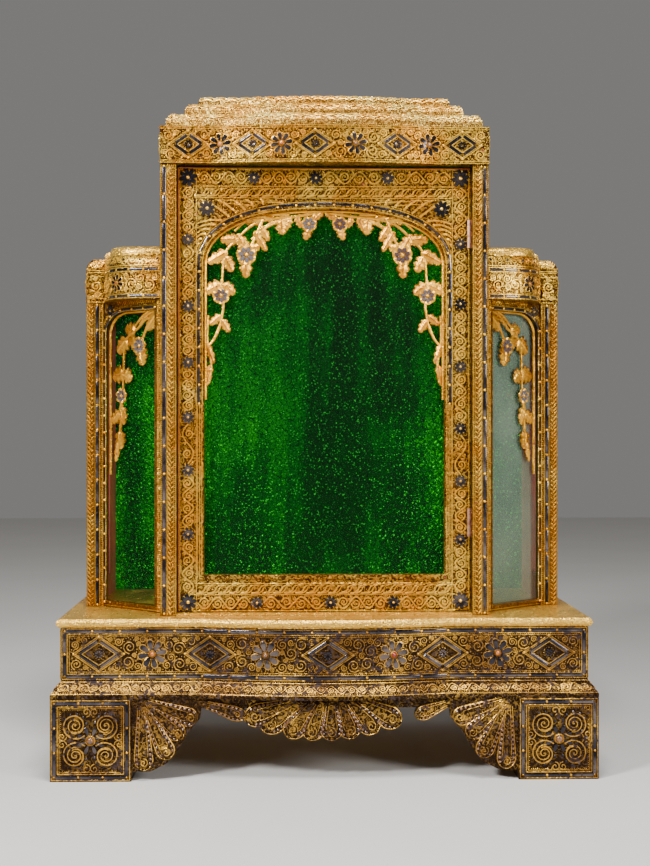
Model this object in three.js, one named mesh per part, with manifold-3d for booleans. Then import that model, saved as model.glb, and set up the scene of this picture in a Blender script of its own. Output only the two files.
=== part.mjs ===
// A glazed household shrine: a bow-fronted base on bracket feet, a tall centre with a hinged
// arched door, and two lower wings with canted windows. Millimetres, +Z up, front towards -Y.
import * as THREE from "three";
import { mergeVertices } from "three/addons/utils/BufferGeometryUtils.js";
import Module from "manifold-3d";

const wasm = await Module();
wasm.setup();

// Clearances
const seam = 0.3; // open joint between two pieces that touch
const doorPlay = 1; // between the door and the posts, the sill and the frieze
const sink = 0.6; // how deep an applied ornament is let into its ground
const bandSink = 2; // the same on a bowed face

// Base
const overallDepth = 450;
const baseHalf = 380;
const baseBowHalf = 170;
const baseBow = 22;
const footWidth = 112;
const footDepth = 96;
const footHeight = 114;
const mouldingHeight = 23.7;
const mouldingInset = 13.7;
const dadoHeight = 73.3;
const dadoWall = 22;
const boardThickness = 11.9;
const boardOverhang = 6.5;
const apronThickness = 12;
const apronSetback = 3;
const sideApronDrop = 34;
const bracketReach = 92;
const petalCrown = 4;

// Centre
const centreHalf = 232;
const postWidth = 23;
const postDepth = 52;
const postSetback = 44.6; // posts' face behind the feet's face
const stripWidth = 5.5; // raised line that carries mirror strips
const stripMargin = 3; // from the strip to the post's outer edge
const ropeWidth = 8; // raised rope band beside it
const ropeMargin = 4;
const stripRise = 1.2;
const ropeRise = 2;
const sillHeight = 3;
const sillDepth = 40;
const doorBottomToTop = 629.8;
const friezeHeight = 52.9;
const friezeBowHalf = 150;
const friezeBow = 15;
const friezeLip = 5;
const friezeWall = 24;
const capSteps = [
  { setBack: 8, rise: 18.6 },
  { setBack: 33, rise: 18 },
  { setBack: 52, rise: 13 },
];
const backThickness = 12;
const backSetback = 11.5;
const liningThickness = 1.6;
const sideThickness = 14;

// Door
const doorRecess = 14;
const doorThickness = 18;
const openingHalf = 171;
const openingBottomRail = 52;
const doorTopRail = 59.3; // from the arch's crown up to the door's upper edge
const archRise = 79.5;
const glassThickness = 3;
const glassRebate = 8;
const archBorder = 7;
const rosetteRadius = 9;
const cornerRosetteRadius = 13;
const rosetteLine = 15.5; // rosette centres in from the door's outer edge
const stileRosettes = 8;
const railRosettes = 5;
const rosetteHeight = 2.4;

// Hinges on the door's right-hand edge
const hingeSwing = 3.8; // pin in front of the door's face
const barrelRadius = 3.2;
const pinRadius = 1.5;
const pinClearance = 0.5;
const knuckles = 5;
const hingeLength = 40;
const hingeHeights = [126, 536]; // barrel centres above the door's lower edge
const leafThickness = 1.2;
const leafReach = 12;

// Wings
const wingHalf = 350.4;
const wingPostWidth = 25.4;
const wingStripMargin = 6.5; // from the post's inner edge to its mirror line
const wingPostSetback = 161; // corner posts' face behind the feet's face
const wingHeight = 496; // board to the frieze's upper edge
const wingFriezeHeight = 46;
const wingBulge = 30;
const windowStart = 76; // window's inner end behind the feet's face
const windowEnd = 164;
const windowThickness = 14;
const windowInnerStile = 11;
const windowOuterStile = 4;
const windowRail = 9;
const windowArchDrop = 30;
const windowHeadRail = 14; // crown below the frieze
const ribReach = 240; // how far the garland's rib runs down from the crown
const wingCoveRise = 19;
const wingCoveInset = 14;
const wingRoofRise = 12;
const wingRoofInset = 26;
const wingWall = 16;
const sideWindowFront = 80;
const sideWindowWidth = 50;
const sideWindowBottom = 38;
const sideWindowTop = 40;

// Places worked out from the sizes above
const footFace = -overallDepth / 2 + baseBow;
const backFace = overallDepth / 2;
const footInner = baseHalf - footWidth - seam;
const apronHalf = footInner - bracketReach - seam;
const mouldingBottom = footHeight + seam;
const dadoBottom = footHeight + mouldingHeight;
const dadoTop = dadoBottom + dadoHeight;
const boardTop = dadoTop + boardThickness;
const bodyBottom = boardTop + seam;
const postFace = footFace + postSetback;
const doorFace = postFace + doorRecess;
const doorHalf = centreHalf - postWidth - doorPlay;
const doorBottom = bodyBottom + sillHeight + doorPlay;
const doorTop = doorBottom + doorBottomToTop;
const friezeBottom = doorTop + doorPlay + 1.5;
const friezeTop = friezeBottom + friezeHeight;
const openingBottom = doorBottom + openingBottomRail;
const archSpring = doorTop - doorTopRail - archRise;
const panelBack = backFace - backSetback;
const panelFront = panelBack - backThickness;
const liningFront = panelFront - seam - liningThickness;
const wingPostFace = footFace + wingPostSetback;
const wingTop = boardTop + wingHeight;
const wingFriezeBottom = wingTop - wingFriezeHeight;
const windowCrown = wingFriezeBottom - windowHeadRail;
const wingInner = centreHalf + seam;
const wingPostInner = wingHalf - wingPostWidth;
const hingeX = doorHalf + doorPlay - seam - barrelRadius;
const hingeCentres = hingeHeights.map((height) => doorBottom + height);
const hingeY = doorFace - hingeSwing;

// Finishes
const finishes = {
  gold: [0xc79a35, 0.45, 0.75],
  worn_gold: [0xa07a35, 0.55, 0.6],
  lacquer: [0x7c2418, 0.45, 0],
  hinge_metal: [0xb98468, 0.4, 0.8],
};

function finish(name) {
  const [color, roughness, metalness] = finishes[name];
  return new THREE.MeshStandardMaterial({ name, color, roughness, metalness });
}

function glassFinish() {
  return new THREE.MeshStandardMaterial({
    name: "glass",
    color: 0xcfd8d4,
    roughness: 0.05,
    metalness: 0,
    transparent: true,
    opacity: 0.3,
  });
}

function glitterFinish() {
  return new THREE.MeshStandardMaterial({ name: "green_glitter", color: 0x0b6b1c, roughness: 0.3 });
}

// Solids and the geometry they are made from
function solidOf(geometry) {
  const plain = geometry.index ? geometry.toNonIndexed() : geometry.clone();
  plain.deleteAttribute("normal");
  plain.deleteAttribute("uv");
  const merged = mergeVertices(plain, 1e-4);
  return new wasm.Manifold(
    new wasm.Mesh({
      numProp: 3,
      vertProperties: new Float32Array(merged.attributes.position.array),
      triVerts: new Uint32Array(merged.index.array),
    }),
  );
}

function geometryOf(solid) {
  const mesh = solid.getMesh();
  const geometry = new THREE.BufferGeometry();
  geometry.setAttribute("position", new THREE.BufferAttribute(mesh.vertProperties, 3));
  geometry.setIndex(new THREE.BufferAttribute(mesh.triVerts, 1));
  geometry.computeVertexNormals();
  return geometry;
}

function joined(solids) {
  return solids.reduce((whole, next) => whole.add(next));
}

function shapeOf(points) {
  return new THREE.Shape(points.map(([x, y]) => new THREE.Vector2(x, y)));
}

// A plan outline raised from one height to another
function raised(points, bottom, top) {
  const geometry = new THREE.ExtrudeGeometry(shapeOf(points), {
    depth: top - bottom,
    bevelEnabled: false,
  });
  return solidOf(geometry.translate(0, 0, bottom));
}

// An outline drawn across (x) and up (z), cut out of a board that starts at one depth
function board(points, front, thickness) {
  const geometry = new THREE.ExtrudeGeometry(shapeOf(points), {
    depth: thickness,
    bevelEnabled: false,
  });
  return solidOf(geometry.rotateX(Math.PI / 2).translate(0, front + thickness, 0));
}

function block(x0, x1, y0, y1, z0, z1) {
  const geometry = new THREE.BoxGeometry(x1 - x0, y1 - y0, z1 - z0);
  return solidOf(geometry.translate((x0 + x1) / 2, (y0 + y1) / 2, (z0 + z1) / 2));
}

// Rings of equal length joined into one closed skin. The section, the first ring drawn flat,
// gives the triangles that close both ends
function lofted(rings, section = rings[0]) {
  const count = rings[0].length;
  const last = (rings.length - 1) * count;
  const index = [];
  for (let r = 0; r + 1 < rings.length; r += 1) {
    for (let i = 0; i < count; i += 1) {
      const a = r * count + i;
      const b = r * count + ((i + 1) % count);
      index.push(a, b, b + count, a, b + count, a + count);
    }
  }
  const flat = section.map(([x, y]) => new THREE.Vector2(x, y));
  THREE.ShapeUtils.triangulateShape(flat, []).forEach(([a, b, c]) => {
    index.push(c, b, a, last + a, last + b, last + c);
  });
  const geometry = new THREE.BufferGeometry();
  geometry.setAttribute("position", new THREE.Float32BufferAttribute(rings.flat(2), 3));
  geometry.setIndex(index);
  return solidOf(geometry);
}

// Plan of a body whose straight front swells forward in a shallow arc
function bowPlan({ half, front, back, bowHalf, bow }, inset = 0, steps = 10) {
  const radius = (bowHalf * bowHalf + bow * bow) / (2 * bow);
  const points = [[-half + inset, front + inset]];
  for (let i = 0; i <= steps; i += 1) {
    const x = bowHalf * ((2 * i) / steps - 1);
    const swell = Math.sqrt(radius * radius - x * x) - (radius - bow);
    points.push([x, front + inset - swell]);
  }
  points.push([half - inset, front + inset], [half - inset, back - inset], [-half + inset, back - inset]);
  return points;
}

// A moulding: the plan drawn in by each profile step, from the bottom up
function moulded(plan, profile) {
  return lofted(profile.map(([inset, z]) => plan(inset).map(([x, y]) => [x, y, z])));
}

// Profile steps of a quarter round that falls from a flat top to the widest line below it
function quarterRound(bottom, rise, lip, reach, steps) {
  const profile = [
    [0, bottom],
    [0, bottom + lip],
  ];
  for (let i = 1; i <= steps; i += 1) {
    const angle = (i / steps) * (Math.PI / 2);
    profile.push([reach * (1 - Math.cos(angle)), bottom + lip + (rise - lip) * Math.sin(angle)]);
  }
  return profile;
}

function piece(name, solid, material, group) {
  const mesh = new THREE.Mesh(geometryOf(solid), material);
  mesh.name = name;
  group.add(mesh);
  return mesh;
}

// Ornament, drawn flat at the origin facing -Y and then put in its place
function placed(solid, x, front, z, depth = sink) {
  return solid.translate([x, front + depth, z]);
}

// Star outline of a flower's petals
function starOutline(radius, petals) {
  const outline = [];
  for (let i = 0; i < petals * 2; i += 1) {
    const reach = i % 2 ? radius * 0.62 : radius;
    const angle = (i * Math.PI) / petals;
    outline.push([reach * Math.cos(angle), reach * Math.sin(angle)]);
  }
  return outline;
}

// A large flower: pointed petals that rise to a flat boss
function flower(radius, height) {
  const outline = starOutline(radius, 8);
  const rings = [
    [1, 0],
    [0.4, height + sink],
  ].map(([share, z]) => outline.map(([x, y]) => [x * share, y * share, z]));
  return lofted(rings).rotate([90, 0, 0]);
}

// A small rosette: its petals meet in one point
function rosette(radius, height) {
  const outline = starOutline(radius, 6);
  const index = [];
  outline.forEach((_, i) => index.push(i, (i + 1) % outline.length, outline.length));
  for (let i = 1; i + 1 < outline.length; i += 1) {
    index.push(0, i + 1, i);
  }
  const positions = outline.flatMap(([x, y]) => [x, y, 0]).concat(0, 0, height + sink);
  const geometry = new THREE.BufferGeometry();
  geometry.setAttribute("position", new THREE.Float32BufferAttribute(positions, 3));
  geometry.setIndex(index);
  return solidOf(geometry.rotateX(Math.PI / 2));
}

// A lozenge frame with a small flower inside
function lozenge(halfWidth, halfHeight, bar, height) {
  const rhombus = (w, h) => [
    [w, 0],
    [0, h],
    [-w, 0],
    [0, -h],
  ];
  const outer = board(rhombus(halfWidth, halfHeight), -height, height);
  const inner = board(rhombus(halfWidth - bar * 1.5, halfHeight - bar), -height - 1, height + 2);
  return outer.subtract(inner).add(rosette(halfHeight * 0.42, height - sink));
}

// A narrow leaf: a three-sided spine that widens and then runs out to a point
function leaf(start, end, half, thickness, front) {
  const length = Math.hypot(end[0] - start[0], end[1] - start[1]);
  const turn = Math.atan2(end[1] - start[1], end[0] - start[0]);
  const stations = [
    [0, 0.3],
    [0.6, 1],
    [1, 0.15],
  ];
  const section = (width) => [
    [thickness, -half * width],
    [thickness, half * width],
    [0, 0],
  ];
  const rings = stations.map(([share, width]) =>
    section(width).map(([depth, across]) => {
      const along = share * length;
      const x = start[0] + along * Math.cos(turn) - across * Math.sin(turn);
      const z = start[1] + along * Math.sin(turn) + across * Math.cos(turn);
      return [x, front + depth, z];
    }),
  );
  return lofted(rings, section(1));
}

// A broad petal from one point to another, crowned along its middle
function petal(start, end, halfStart, halfEnd, thickness, crown, front, tip = 0.2) {
  const length = Math.hypot(end[0] - start[0], end[1] - start[1]);
  const turn = Math.atan2(end[1] - start[1], end[0] - start[0]);
  const stations = [
    [0, halfStart, 0.35],
    [0.45, (halfStart + halfEnd) / 2, 0.8],
    [1 - tip, halfEnd, 1],
    [1 - tip * 0.35, halfEnd * 0.72, 0.8],
    [1, halfEnd * 0.2, 0.4],
  ];
  const section = (half, rise) => [
    [thickness, -half],
    [thickness, half],
    [0, half],
    [-crown * rise, 0],
    [0, -half],
  ];
  const rings = stations.map(([share, half, rise]) =>
    section(half, rise).map(([depth, across]) => {
      const along = share * length;
      const x = start[0] + along * Math.cos(turn) - across * Math.sin(turn);
      const z = start[1] + along * Math.sin(turn) + across * Math.cos(turn);
      return [x, front + depth, z];
    }),
  );
  return lofted(rings, section(halfStart, 1));
}

// A stem: a four-sided rod that turns at each of its points, given across and up
function stem(points, radius, depth) {
  const section = [
    [0, -radius],
    [radius, 0],
    [0, radius],
    [-radius, 0],
  ];
  const rings = points.map(([x, z], i) => {
    const before = points[Math.max(i - 1, 0)];
    const after = points[Math.min(i + 1, points.length - 1)];
    const turn = Math.atan2(after[1] - before[1], after[0] - before[0]);
    return section.map(([near, across]) => [
      x - across * Math.sin(turn),
      depth + near,
      z + across * Math.cos(turn),
    ]);
  });
  return lofted(rings, section);
}

// The glazed opening of the door: straight sides under a basket-handle arch
function archOutline(half, bottom, spring, rise, steps = 14) {
  const points = [
    [-half, bottom],
    [half, bottom],
  ];
  for (let i = 0; i <= steps; i += 1) {
    const angle = (i / steps) * Math.PI;
    const c = Math.cos(angle);
    const s = Math.sin(angle);
    const reach = half * Math.sign(c) * Math.pow(Math.abs(c), 0.86);
    points.push([reach, spring + rise * Math.pow(s, 0.86)]);
  }
  return points;
}

// Base: feet, brackets and aprons
function footBlock(side, front) {
  const x0 = side < 0 ? -baseHalf : baseHalf - footWidth;
  const y0 = front ? footFace : backFace - footDepth;
  const whole = block(x0, x0 + footWidth, y0, y0 + footDepth, 0, footHeight);
  return front ? whole.add(footCarving(x0 + footWidth / 2)) : whole;
}

function volute(reach, turn) {
  const line = [];
  for (let i = 0; i <= 4; i += 1) {
    const angle = turn + (i / 4) * Math.PI * 1.5;
    const radius = reach * (1 - (0.55 * i) / 4);
    line.push([radius * Math.cos(angle), radius * Math.sin(angle)]);
  }
  return line;
}

function footCarving(x) {
  const middle = footHeight / 2;
  const parts = [placed(flower(19, 5), x, footFace, middle)];
  const spread = footWidth * 0.25;
  [-1, 1].forEach((sx) =>
    [-1, 1].forEach((sz) => {
      const line = volute(17, Math.atan2(-sz, -sx)).map(([a, b]) => [
        x + sx * spread + a,
        middle + sz * spread + b * 0.95,
      ]);
      parts.push(stem(line, 3, footFace));
    }),
  );
  const rim = footWidth / 2;
  const bar = 3;
  const bars = [
    [x - rim + 5, x - rim + 5 + bar, 8, footHeight - 8],
    [x + rim - 5 - bar, x + rim - 5, 8, footHeight - 8],
    [x - rim + 5, x + rim - 5, 5, 5 + bar],
    [x - rim + 5, x + rim - 5, footHeight - 5 - bar, footHeight - 5],
  ];
  bars.forEach(([a, b, c, d]) => parts.push(block(a, b, footFace - 1, footFace + sink, c, d)));
  return joined(parts);
}

// Fan bracket in the corner beside a front foot. Its petals end at these distances in from the
// foot and up from the ground
const bracketTips = [
  [17, 15],
  [52, 31],
  [70, 60],
  [90, 84],
];
const bracketRoot = [14, 3];
const bracketPetal = { halfStart: 6, halfEnd: 14 };

function frontBracket(side) {
  const face = footFace + apronSetback;
  const root = [side * (footInner - bracketRoot[0]), footHeight - bracketRoot[1]];
  const { halfStart, halfEnd } = bracketPetal;
  const parts = bracketTips.map(([into, z]) =>
    petal(root, [side * (footInner - into), z], halfStart, halfEnd, apronThickness, petalCrown, face, 0.16),
  );
  parts.push(board(bracketWeb(side), face + 2, apronThickness - 2));
  const keep = block(footInner - bracketReach, footInner, footFace, footFace + footDepth, 0, footHeight);
  return joined(parts).intersect(side < 0 ? keep.mirror([1, 0, 0]) : keep);
}

// The plain board behind the petals
function bracketWeb(side) {
  const points = [
    [0, 15],
    [30, 16],
    [55, 55],
    [72, 78],
    [bracketReach, footHeight],
    [0, footHeight],
  ].map(([into, z]) => [side * (footInner - into), z]);
  return side < 0 ? points.reverse() : points;
}

// Shell apron between the brackets. Petals end at shares of the apron's half length, a little
// off its middle, and at these drops below its upper edge
const shellMiddle = 0.05;
const shellTips = [
  [-0.64, 30],
  [-0.5, 44],
  [-0.3, 54],
  [-0.13, 58],
  [0.046, 59],
  [0.22, 56],
  [0.405, 48],
  [0.594, 36],
];
const shellPetal = { halfStart: 7, halfEnd: 17 };
const endLeaves = [
  [-0.97, -0.62],
  [0.98, 0.71],
];
const endLeaf = { halfStart: 5, halfEnd: 11, drop: 26 };
const apronRail = 14;

function shellApron() {
  const face = footFace + apronSetback;
  const parts = shellTips.map(([share, drop]) => {
    const start = [apronHalf * (shellMiddle + (share - shellMiddle) * 0.42), footHeight - 6];
    const { halfStart, halfEnd } = shellPetal;
    const end = [apronHalf * share, footHeight - drop];
    return petal(start, end, halfStart, halfEnd, apronThickness, petalCrown, face, 0.3);
  });
  endLeaves.forEach(([outer, inner]) => {
    const start = [apronHalf * outer, footHeight - 7];
    const end = [apronHalf * inner, footHeight - endLeaf.drop];
    const { halfStart, halfEnd } = endLeaf;
    parts.push(petal(start, end, halfStart, halfEnd, apronThickness, petalCrown, face, 0.3));
  });
  const back = face + apronThickness;
  parts.push(block(-apronHalf, apronHalf, face + 2, back, footHeight - apronRail, footHeight));
  return joined(parts).intersect(block(-apronHalf, apronHalf, footFace, back, 0, footHeight));
}

function sideApron(side) {
  const back = backFace - footDepth - seam;
  const front = footFace + footDepth + seam;
  const x1 = baseHalf - apronSetback;
  const bottom = footHeight - sideApronDrop;
  return mirrored(side, block(x1 - apronThickness, x1, front, back, bottom, footHeight));
}

function backApron() {
  const face = backFace - apronSetback;
  return block(-footInner, footInner, face - apronThickness, face, footHeight - sideApronDrop, footHeight);
}

// Base: moulding, dado and board
function basePlan(shift) {
  const sizes = { half: baseHalf, front: footFace, back: backFace, bowHalf: baseBowHalf, bow: baseBow };
  return (inset) => bowPlan(sizes, inset + shift);
}

function hollowed(solid, wall, z0, z1) {
  const hole = block(-baseHalf + wall, baseHalf - wall, footFace + wall, backFace - wall, z0, z1);
  return solid.subtract(hole);
}

function baseMoulding() {
  const profile = [
    [0, mouldingBottom],
    [0, mouldingBottom + 4],
    [1.5, mouldingBottom + 7],
    [5, mouldingBottom + 11],
    [9.5, mouldingBottom + 16],
    [11.5, mouldingBottom + 20],
    [mouldingInset, dadoBottom],
  ];
  return hollowed(moulded(basePlan(0), profile), mouldingInset + dadoWall, 0, boardTop);
}

// Spots of the carved band: lozenges and flowers that alternate along a bowed face
function bandOrnament(plan, half, middle, lozengeHalf, flowerRadius) {
  const spots = 9;
  const parts = [];
  for (let i = 0; i < spots; i += 1) {
    const x = half * 0.855 * ((2 * i) / (spots - 1) - 1);
    const front = faceAt(plan, x);
    const motif =
      i % 2
        ? flower(flowerRadius, 3 + bandSink)
        : lozenge(lozengeHalf * 1.45, lozengeHalf, 3.2, 2 + bandSink);
    parts.push(placed(motif, x, front, middle, bandSink));
  }
  return parts;
}

function faceAt({ front, bowHalf, bow }, x) {
  if (Math.abs(x) > bowHalf) return front;
  const radius = (bowHalf * bowHalf + bow * bow) / (2 * bow);
  return front - (Math.sqrt(radius * radius - x * x) - (radius - bow));
}

function baseDado() {
  const profile = [
    [mouldingInset, dadoBottom + seam],
    [mouldingInset, dadoTop],
  ];
  const ring = hollowed(moulded(basePlan(0), profile), mouldingInset + dadoWall, 0, boardTop);
  const face = { front: footFace + mouldingInset, bowHalf: baseBowHalf, bow: baseBow };
  const middle = (dadoBottom + dadoTop) / 2;
  return joined([ring, ...bandOrnament(face, baseHalf - mouldingInset, middle, 24, 19)]);
}

function baseBoard() {
  const out = mouldingInset - boardOverhang;
  const nose = boardThickness - seam;
  const bottom = dadoTop + seam;
  const profile = [0, 0.25, 0.5, 0.75, 1].map((share) => {
    const angle = (share - 0.5) * Math.PI;
    return [out + 3.5 * (1 - Math.cos(angle)), bottom + nose * share];
  });
  return moulded(basePlan(0), profile);
}

// Centre: posts, sill, frieze and cap
function frontPost(side) {
  const x0 = centreHalf - postWidth;
  const top = friezeBottom - seam;
  const whole = block(x0, centreHalf, postFace, postFace + postDepth, bodyBottom, top);
  const stripEnd = centreHalf - stripMargin;
  const ropeStart = x0 + ropeMargin;
  const back = postFace + sink;
  const strip = block(stripEnd - stripWidth, stripEnd, postFace - stripRise, back, bodyBottom, top);
  const rope = block(ropeStart, ropeStart + ropeWidth, postFace - ropeRise, back, bodyBottom, top);
  const right = joined([whole, strip, rope]);
  if (side < 0) return right.mirror([1, 0, 0]);
  return right.subtract(joined(hingeCentres.map((centre) => postLeafPlate(centre, seam))));
}

function sill() {
  const half = centreHalf - postWidth - seam;
  return block(-half, half, postFace + 1, postFace + 1 + sillDepth, bodyBottom, bodyBottom + sillHeight);
}

function friezeSizes() {
  return {
    half: centreHalf,
    front: postFace - friezeLip,
    back: panelFront - seam,
    bowHalf: friezeBowHalf,
    bow: friezeBow,
  };
}

function frieze() {
  const sizes = friezeSizes();
  const whole = raised(bowPlan(sizes), friezeBottom, friezeTop);
  const inside = centreHalf - sideThickness;
  const hole = block(-inside, inside, postFace + friezeWall, backFace, friezeBottom - 1, friezeTop + 1);
  const middle = (friezeBottom + friezeTop) / 2;
  return joined([whole.subtract(hole), ...bandOrnament(sizes, centreHalf, middle, 19.5, 16)]);
}

// Three quarter-round steps that follow the frieze's bow, each set back on the one below
function capTier(index) {
  const below = capSteps.slice(0, index).reduce((sum, step) => sum + step.rise, 0);
  const bottom = friezeTop + seam + below;
  const { setBack, rise } = capSteps[index];
  const sizes = {
    ...friezeSizes(),
    half: centreHalf - setBack,
    front: postFace - friezeLip + setBack * 0.8,
    back: panelBack - setBack * 0.5,
    bowHalf: friezeBowHalf - setBack * 0.6,
  };
  const profile = quarterRound(bottom, rise - seam, 4, Math.min(12, rise * 0.7), 4);
  return moulded((inset) => bowPlan(sizes, inset), profile);
}

// Back board and its lining, drawn as one stepped outline
function steppedOutline(low, high, step, bottom, top) {
  return [
    [-low, bottom],
    [low, bottom],
    [low, step],
    [high, step],
    [high, top],
    [-high, top],
    [-high, step],
    [-low, step],
  ];
}

function backPanel() {
  const outline = steppedOutline(wingHalf, centreHalf, wingTop, bodyBottom, friezeTop);
  return board(outline, panelFront, backThickness);
}

function backLining() {
  const low = wingHalf - wingWall - seam;
  const high = centreHalf - sideThickness - seam;
  const outline = steppedOutline(low, high, wingTop - seam, bodyBottom, friezeBottom - seam);
  return board(outline, liningFront, liningThickness);
}

// Side of the centre above a wing's roof
function upperSide(side) {
  const x0 = centreHalf - sideThickness;
  const y0 = postFace + postDepth + seam;
  const right = block(x0, centreHalf, y0, liningFront - seam, wingTop + seam, friezeBottom - seam);
  return side < 0 ? right.mirror([1, 0, 0]) : right;
}

function ceiling() {
  const half = centreHalf - sideThickness - seam;
  const front = postFace + friezeWall + seam;
  return block(-half, half, front, panelFront - seam * 2, friezeBottom, friezeBottom + 10);
}

// Door
function doorFrame() {
  const outline = [
    [-doorHalf, doorBottom],
    [doorHalf, doorBottom],
    [doorHalf, doorTop],
    [-doorHalf, doorTop],
  ];
  const opening = archOutline(openingHalf, openingBottom, archSpring, archRise);
  const whole = board(outline, doorFace, doorThickness);
  const border = board(
    archOutline(openingHalf + archBorder, openingBottom - archBorder, archSpring, archRise + archBorder),
    doorFace - 1.6,
    4,
  );
  const cut = board(opening, doorFace - 9, doorThickness + 30);
  const rebate = board(paneOutline(0), doorFace + doorThickness - glassThickness - seam, 30);
  const mortises = joined(hingeCentres.map((centre) => doorLeafPlate(centre, seam)));
  const cutFrame = whole.add(border).subtract(cut).subtract(rebate).subtract(mortises);
  return joined([cutFrame, ...doorRosettes()]);
}

function doorRosettes() {
  const parts = [];
  const x = doorHalf - rosetteLine;
  const low = doorBottom + rosetteLine;
  const high = doorTop - rosetteLine;
  const spot = (px, pz, radius) => parts.push(placed(rosette(radius, rosetteHeight), px, doorFace, pz));
  for (let i = 0; i < stileRosettes; i += 1) {
    const z = low + ((high - low) * i) / (stileRosettes - 1);
    const corner = i === 0 || i === stileRosettes - 1;
    [-x, x].forEach((px) => spot(px, z, corner ? cornerRosetteRadius : rosetteRadius));
  }
  for (let i = 1; i < railRosettes - 1; i += 1) {
    const px = x * ((2 * i) / (railRosettes - 1) - 1);
    [low, high].forEach((z) => spot(px, z, rosetteRadius));
  }
  const spandrel = archSpring + archRise + 2;
  [-1, 1].forEach((side) => spot(side * (openingHalf - 5), spandrel, cornerRosetteRadius - 1));
  return parts;
}

// The pane is a plain rectangle let into the back of the frame
function paneOutline(inset) {
  const half = openingHalf + glassRebate - inset;
  const bottom = openingBottom - glassRebate + inset;
  const top = archSpring + archRise + glassRebate - inset;
  return [
    [-half, bottom],
    [half, bottom],
    [half, top],
    [-half, top],
  ];
}

function doorGlass() {
  return board(paneOutline(1), doorFace + doorThickness - glassThickness, glassThickness);
}

// Pierced floral garland that hangs inside the door's arch: sizes are out from the door's
// centre line and down from the crown of the arch
const garlandDepth = 6;
const doorRibReach = 190; // how far the rib runs down below the arch's springing
const garlandStems = [
  [[8, -4], [40, -9], [70, -12], [100, -20], [127, -44], [142, -64], [146, -104]],
  [[88, -14], [98, -38], [110, -62]],
  [[146, -100], [147, -122], [144, -138], [148, -163]],
  [[166, -150], [167, -186], [163, -206], [161, -226], [164, -246]],
  [[148, -163], [156, -182], [167, -196]],
  [[14, -6], [22, -20]],
];
const garlandLeaves = [
  [[2, -2], [15, -14], 4],
  [[22, -26], [27, -41], 5],
  [[40, -10], [33, -24], 4],
  [[48, -11], [55, -28], 4],
  [[62, -12], [60, -33], 7],
  [[72, -12], [88, -8], 6],
  [[86, -13], [122, -9], 8],
  [[92, -22], [80, -42], 5],
  [[100, -30], [84, -56], 5],
  [[112, -58], [94, -52], 7],
  [[112, -56], [124, -36], 7],
  [[112, -66], [112, -94], 7],
  [[124, -42], [146, -42], 7],
  [[138, -60], [164, -74], 7],
  [[142, -66], [132, -86], 7],
  [[146, -106], [168, -116], 8],
  [[146, -106], [129, -118], 7],
  [[147, -150], [162, -162], 5],
  [[147, -156], [136, -172], 5],
  [[167, -190], [158, -216], 4],
  [[162, -220], [167, -248], 4],
];
const garlandFlowers = [
  [22, -20, 11],
  [111, -64, 14],
  [147, -122, 12],
];

function garland(parts, front) {
  const { stems, leaves, flowers, radius } = parts;
  const solids = stems.map((line) => stem(line, radius, front + garlandDepth / 2));
  leaves.forEach(([start, end, half]) =>
    solids.push(leaf(start, end, half, garlandDepth, front)),
  );
  const back = front + garlandDepth;
  flowers.forEach(([x, z, r]) =>
    solids.push(rosette(r, garlandDepth - sink).translate([x, back, z])),
  );
  return joined(solids);
}

// A narrow rib that carries the garland just inside the arch
function archRib(depth) {
  const bottom = archSpring - doorRibReach;
  const outer = archOutline(openingHalf + 2, bottom, archSpring, archRise + 2);
  const inner = archOutline(openingHalf - 4, bottom - 10, archSpring, archRise - 4);
  return board(outer, depth, garlandDepth - 2).subtract(board(inner, doorFace, doorThickness));
}

function doorGarland() {
  const front = doorFace + 4;
  const crown = archSpring + archRise;
  const at = ([x, drop]) => [x, crown + drop];
  const half = garland(
    {
      stems: garlandStems.map((line) => line.map(at)),
      leaves: garlandLeaves.map(([start, end, width]) => [at(start), at(end), width]),
      flowers: garlandFlowers.map(([x, drop, r]) => [x, crown + drop, r]),
      radius: 2.2,
    },
    front,
  );
  const whole = joined([archRib(front + 1), half, half.mirror([1, 0, 0])]);
  const inside = archOutline(openingHalf - seam, openingBottom, archSpring, archRise - seam);
  return whole.intersect(board(inside, front - 20, 60));
}

// Butt hinges, let into the door's edge and the post: the post leaf carries the odd knuckles
// and the pin, the door leaf the even ones
function rod(radius, bottom, height, sides = 6) {
  const geometry = new THREE.CylinderGeometry(radius, radius, height, sides);
  return solidOf(geometry.rotateX(Math.PI / 2).translate(hingeX, hingeY, bottom + height / 2));
}

const doorEdge = doorHalf;
const postEdge = doorHalf + doorPlay;

function doorLeafPlate(centre, grow) {
  const reach = hingeLength / 2 + grow;
  const x0 = doorEdge - leafThickness - grow;
  const back = doorFace + leafReach + grow;
  return block(x0, doorEdge + grow, doorFace - grow, back, centre - reach, centre + reach);
}

function postLeafPlate(centre, grow) {
  const reach = hingeLength / 2 + grow;
  const x1 = postEdge + leafThickness + grow;
  const back = doorFace + leafReach + grow;
  return block(postEdge - grow, x1, hingeY - 1 - grow, back, centre - reach, centre + reach);
}

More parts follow.
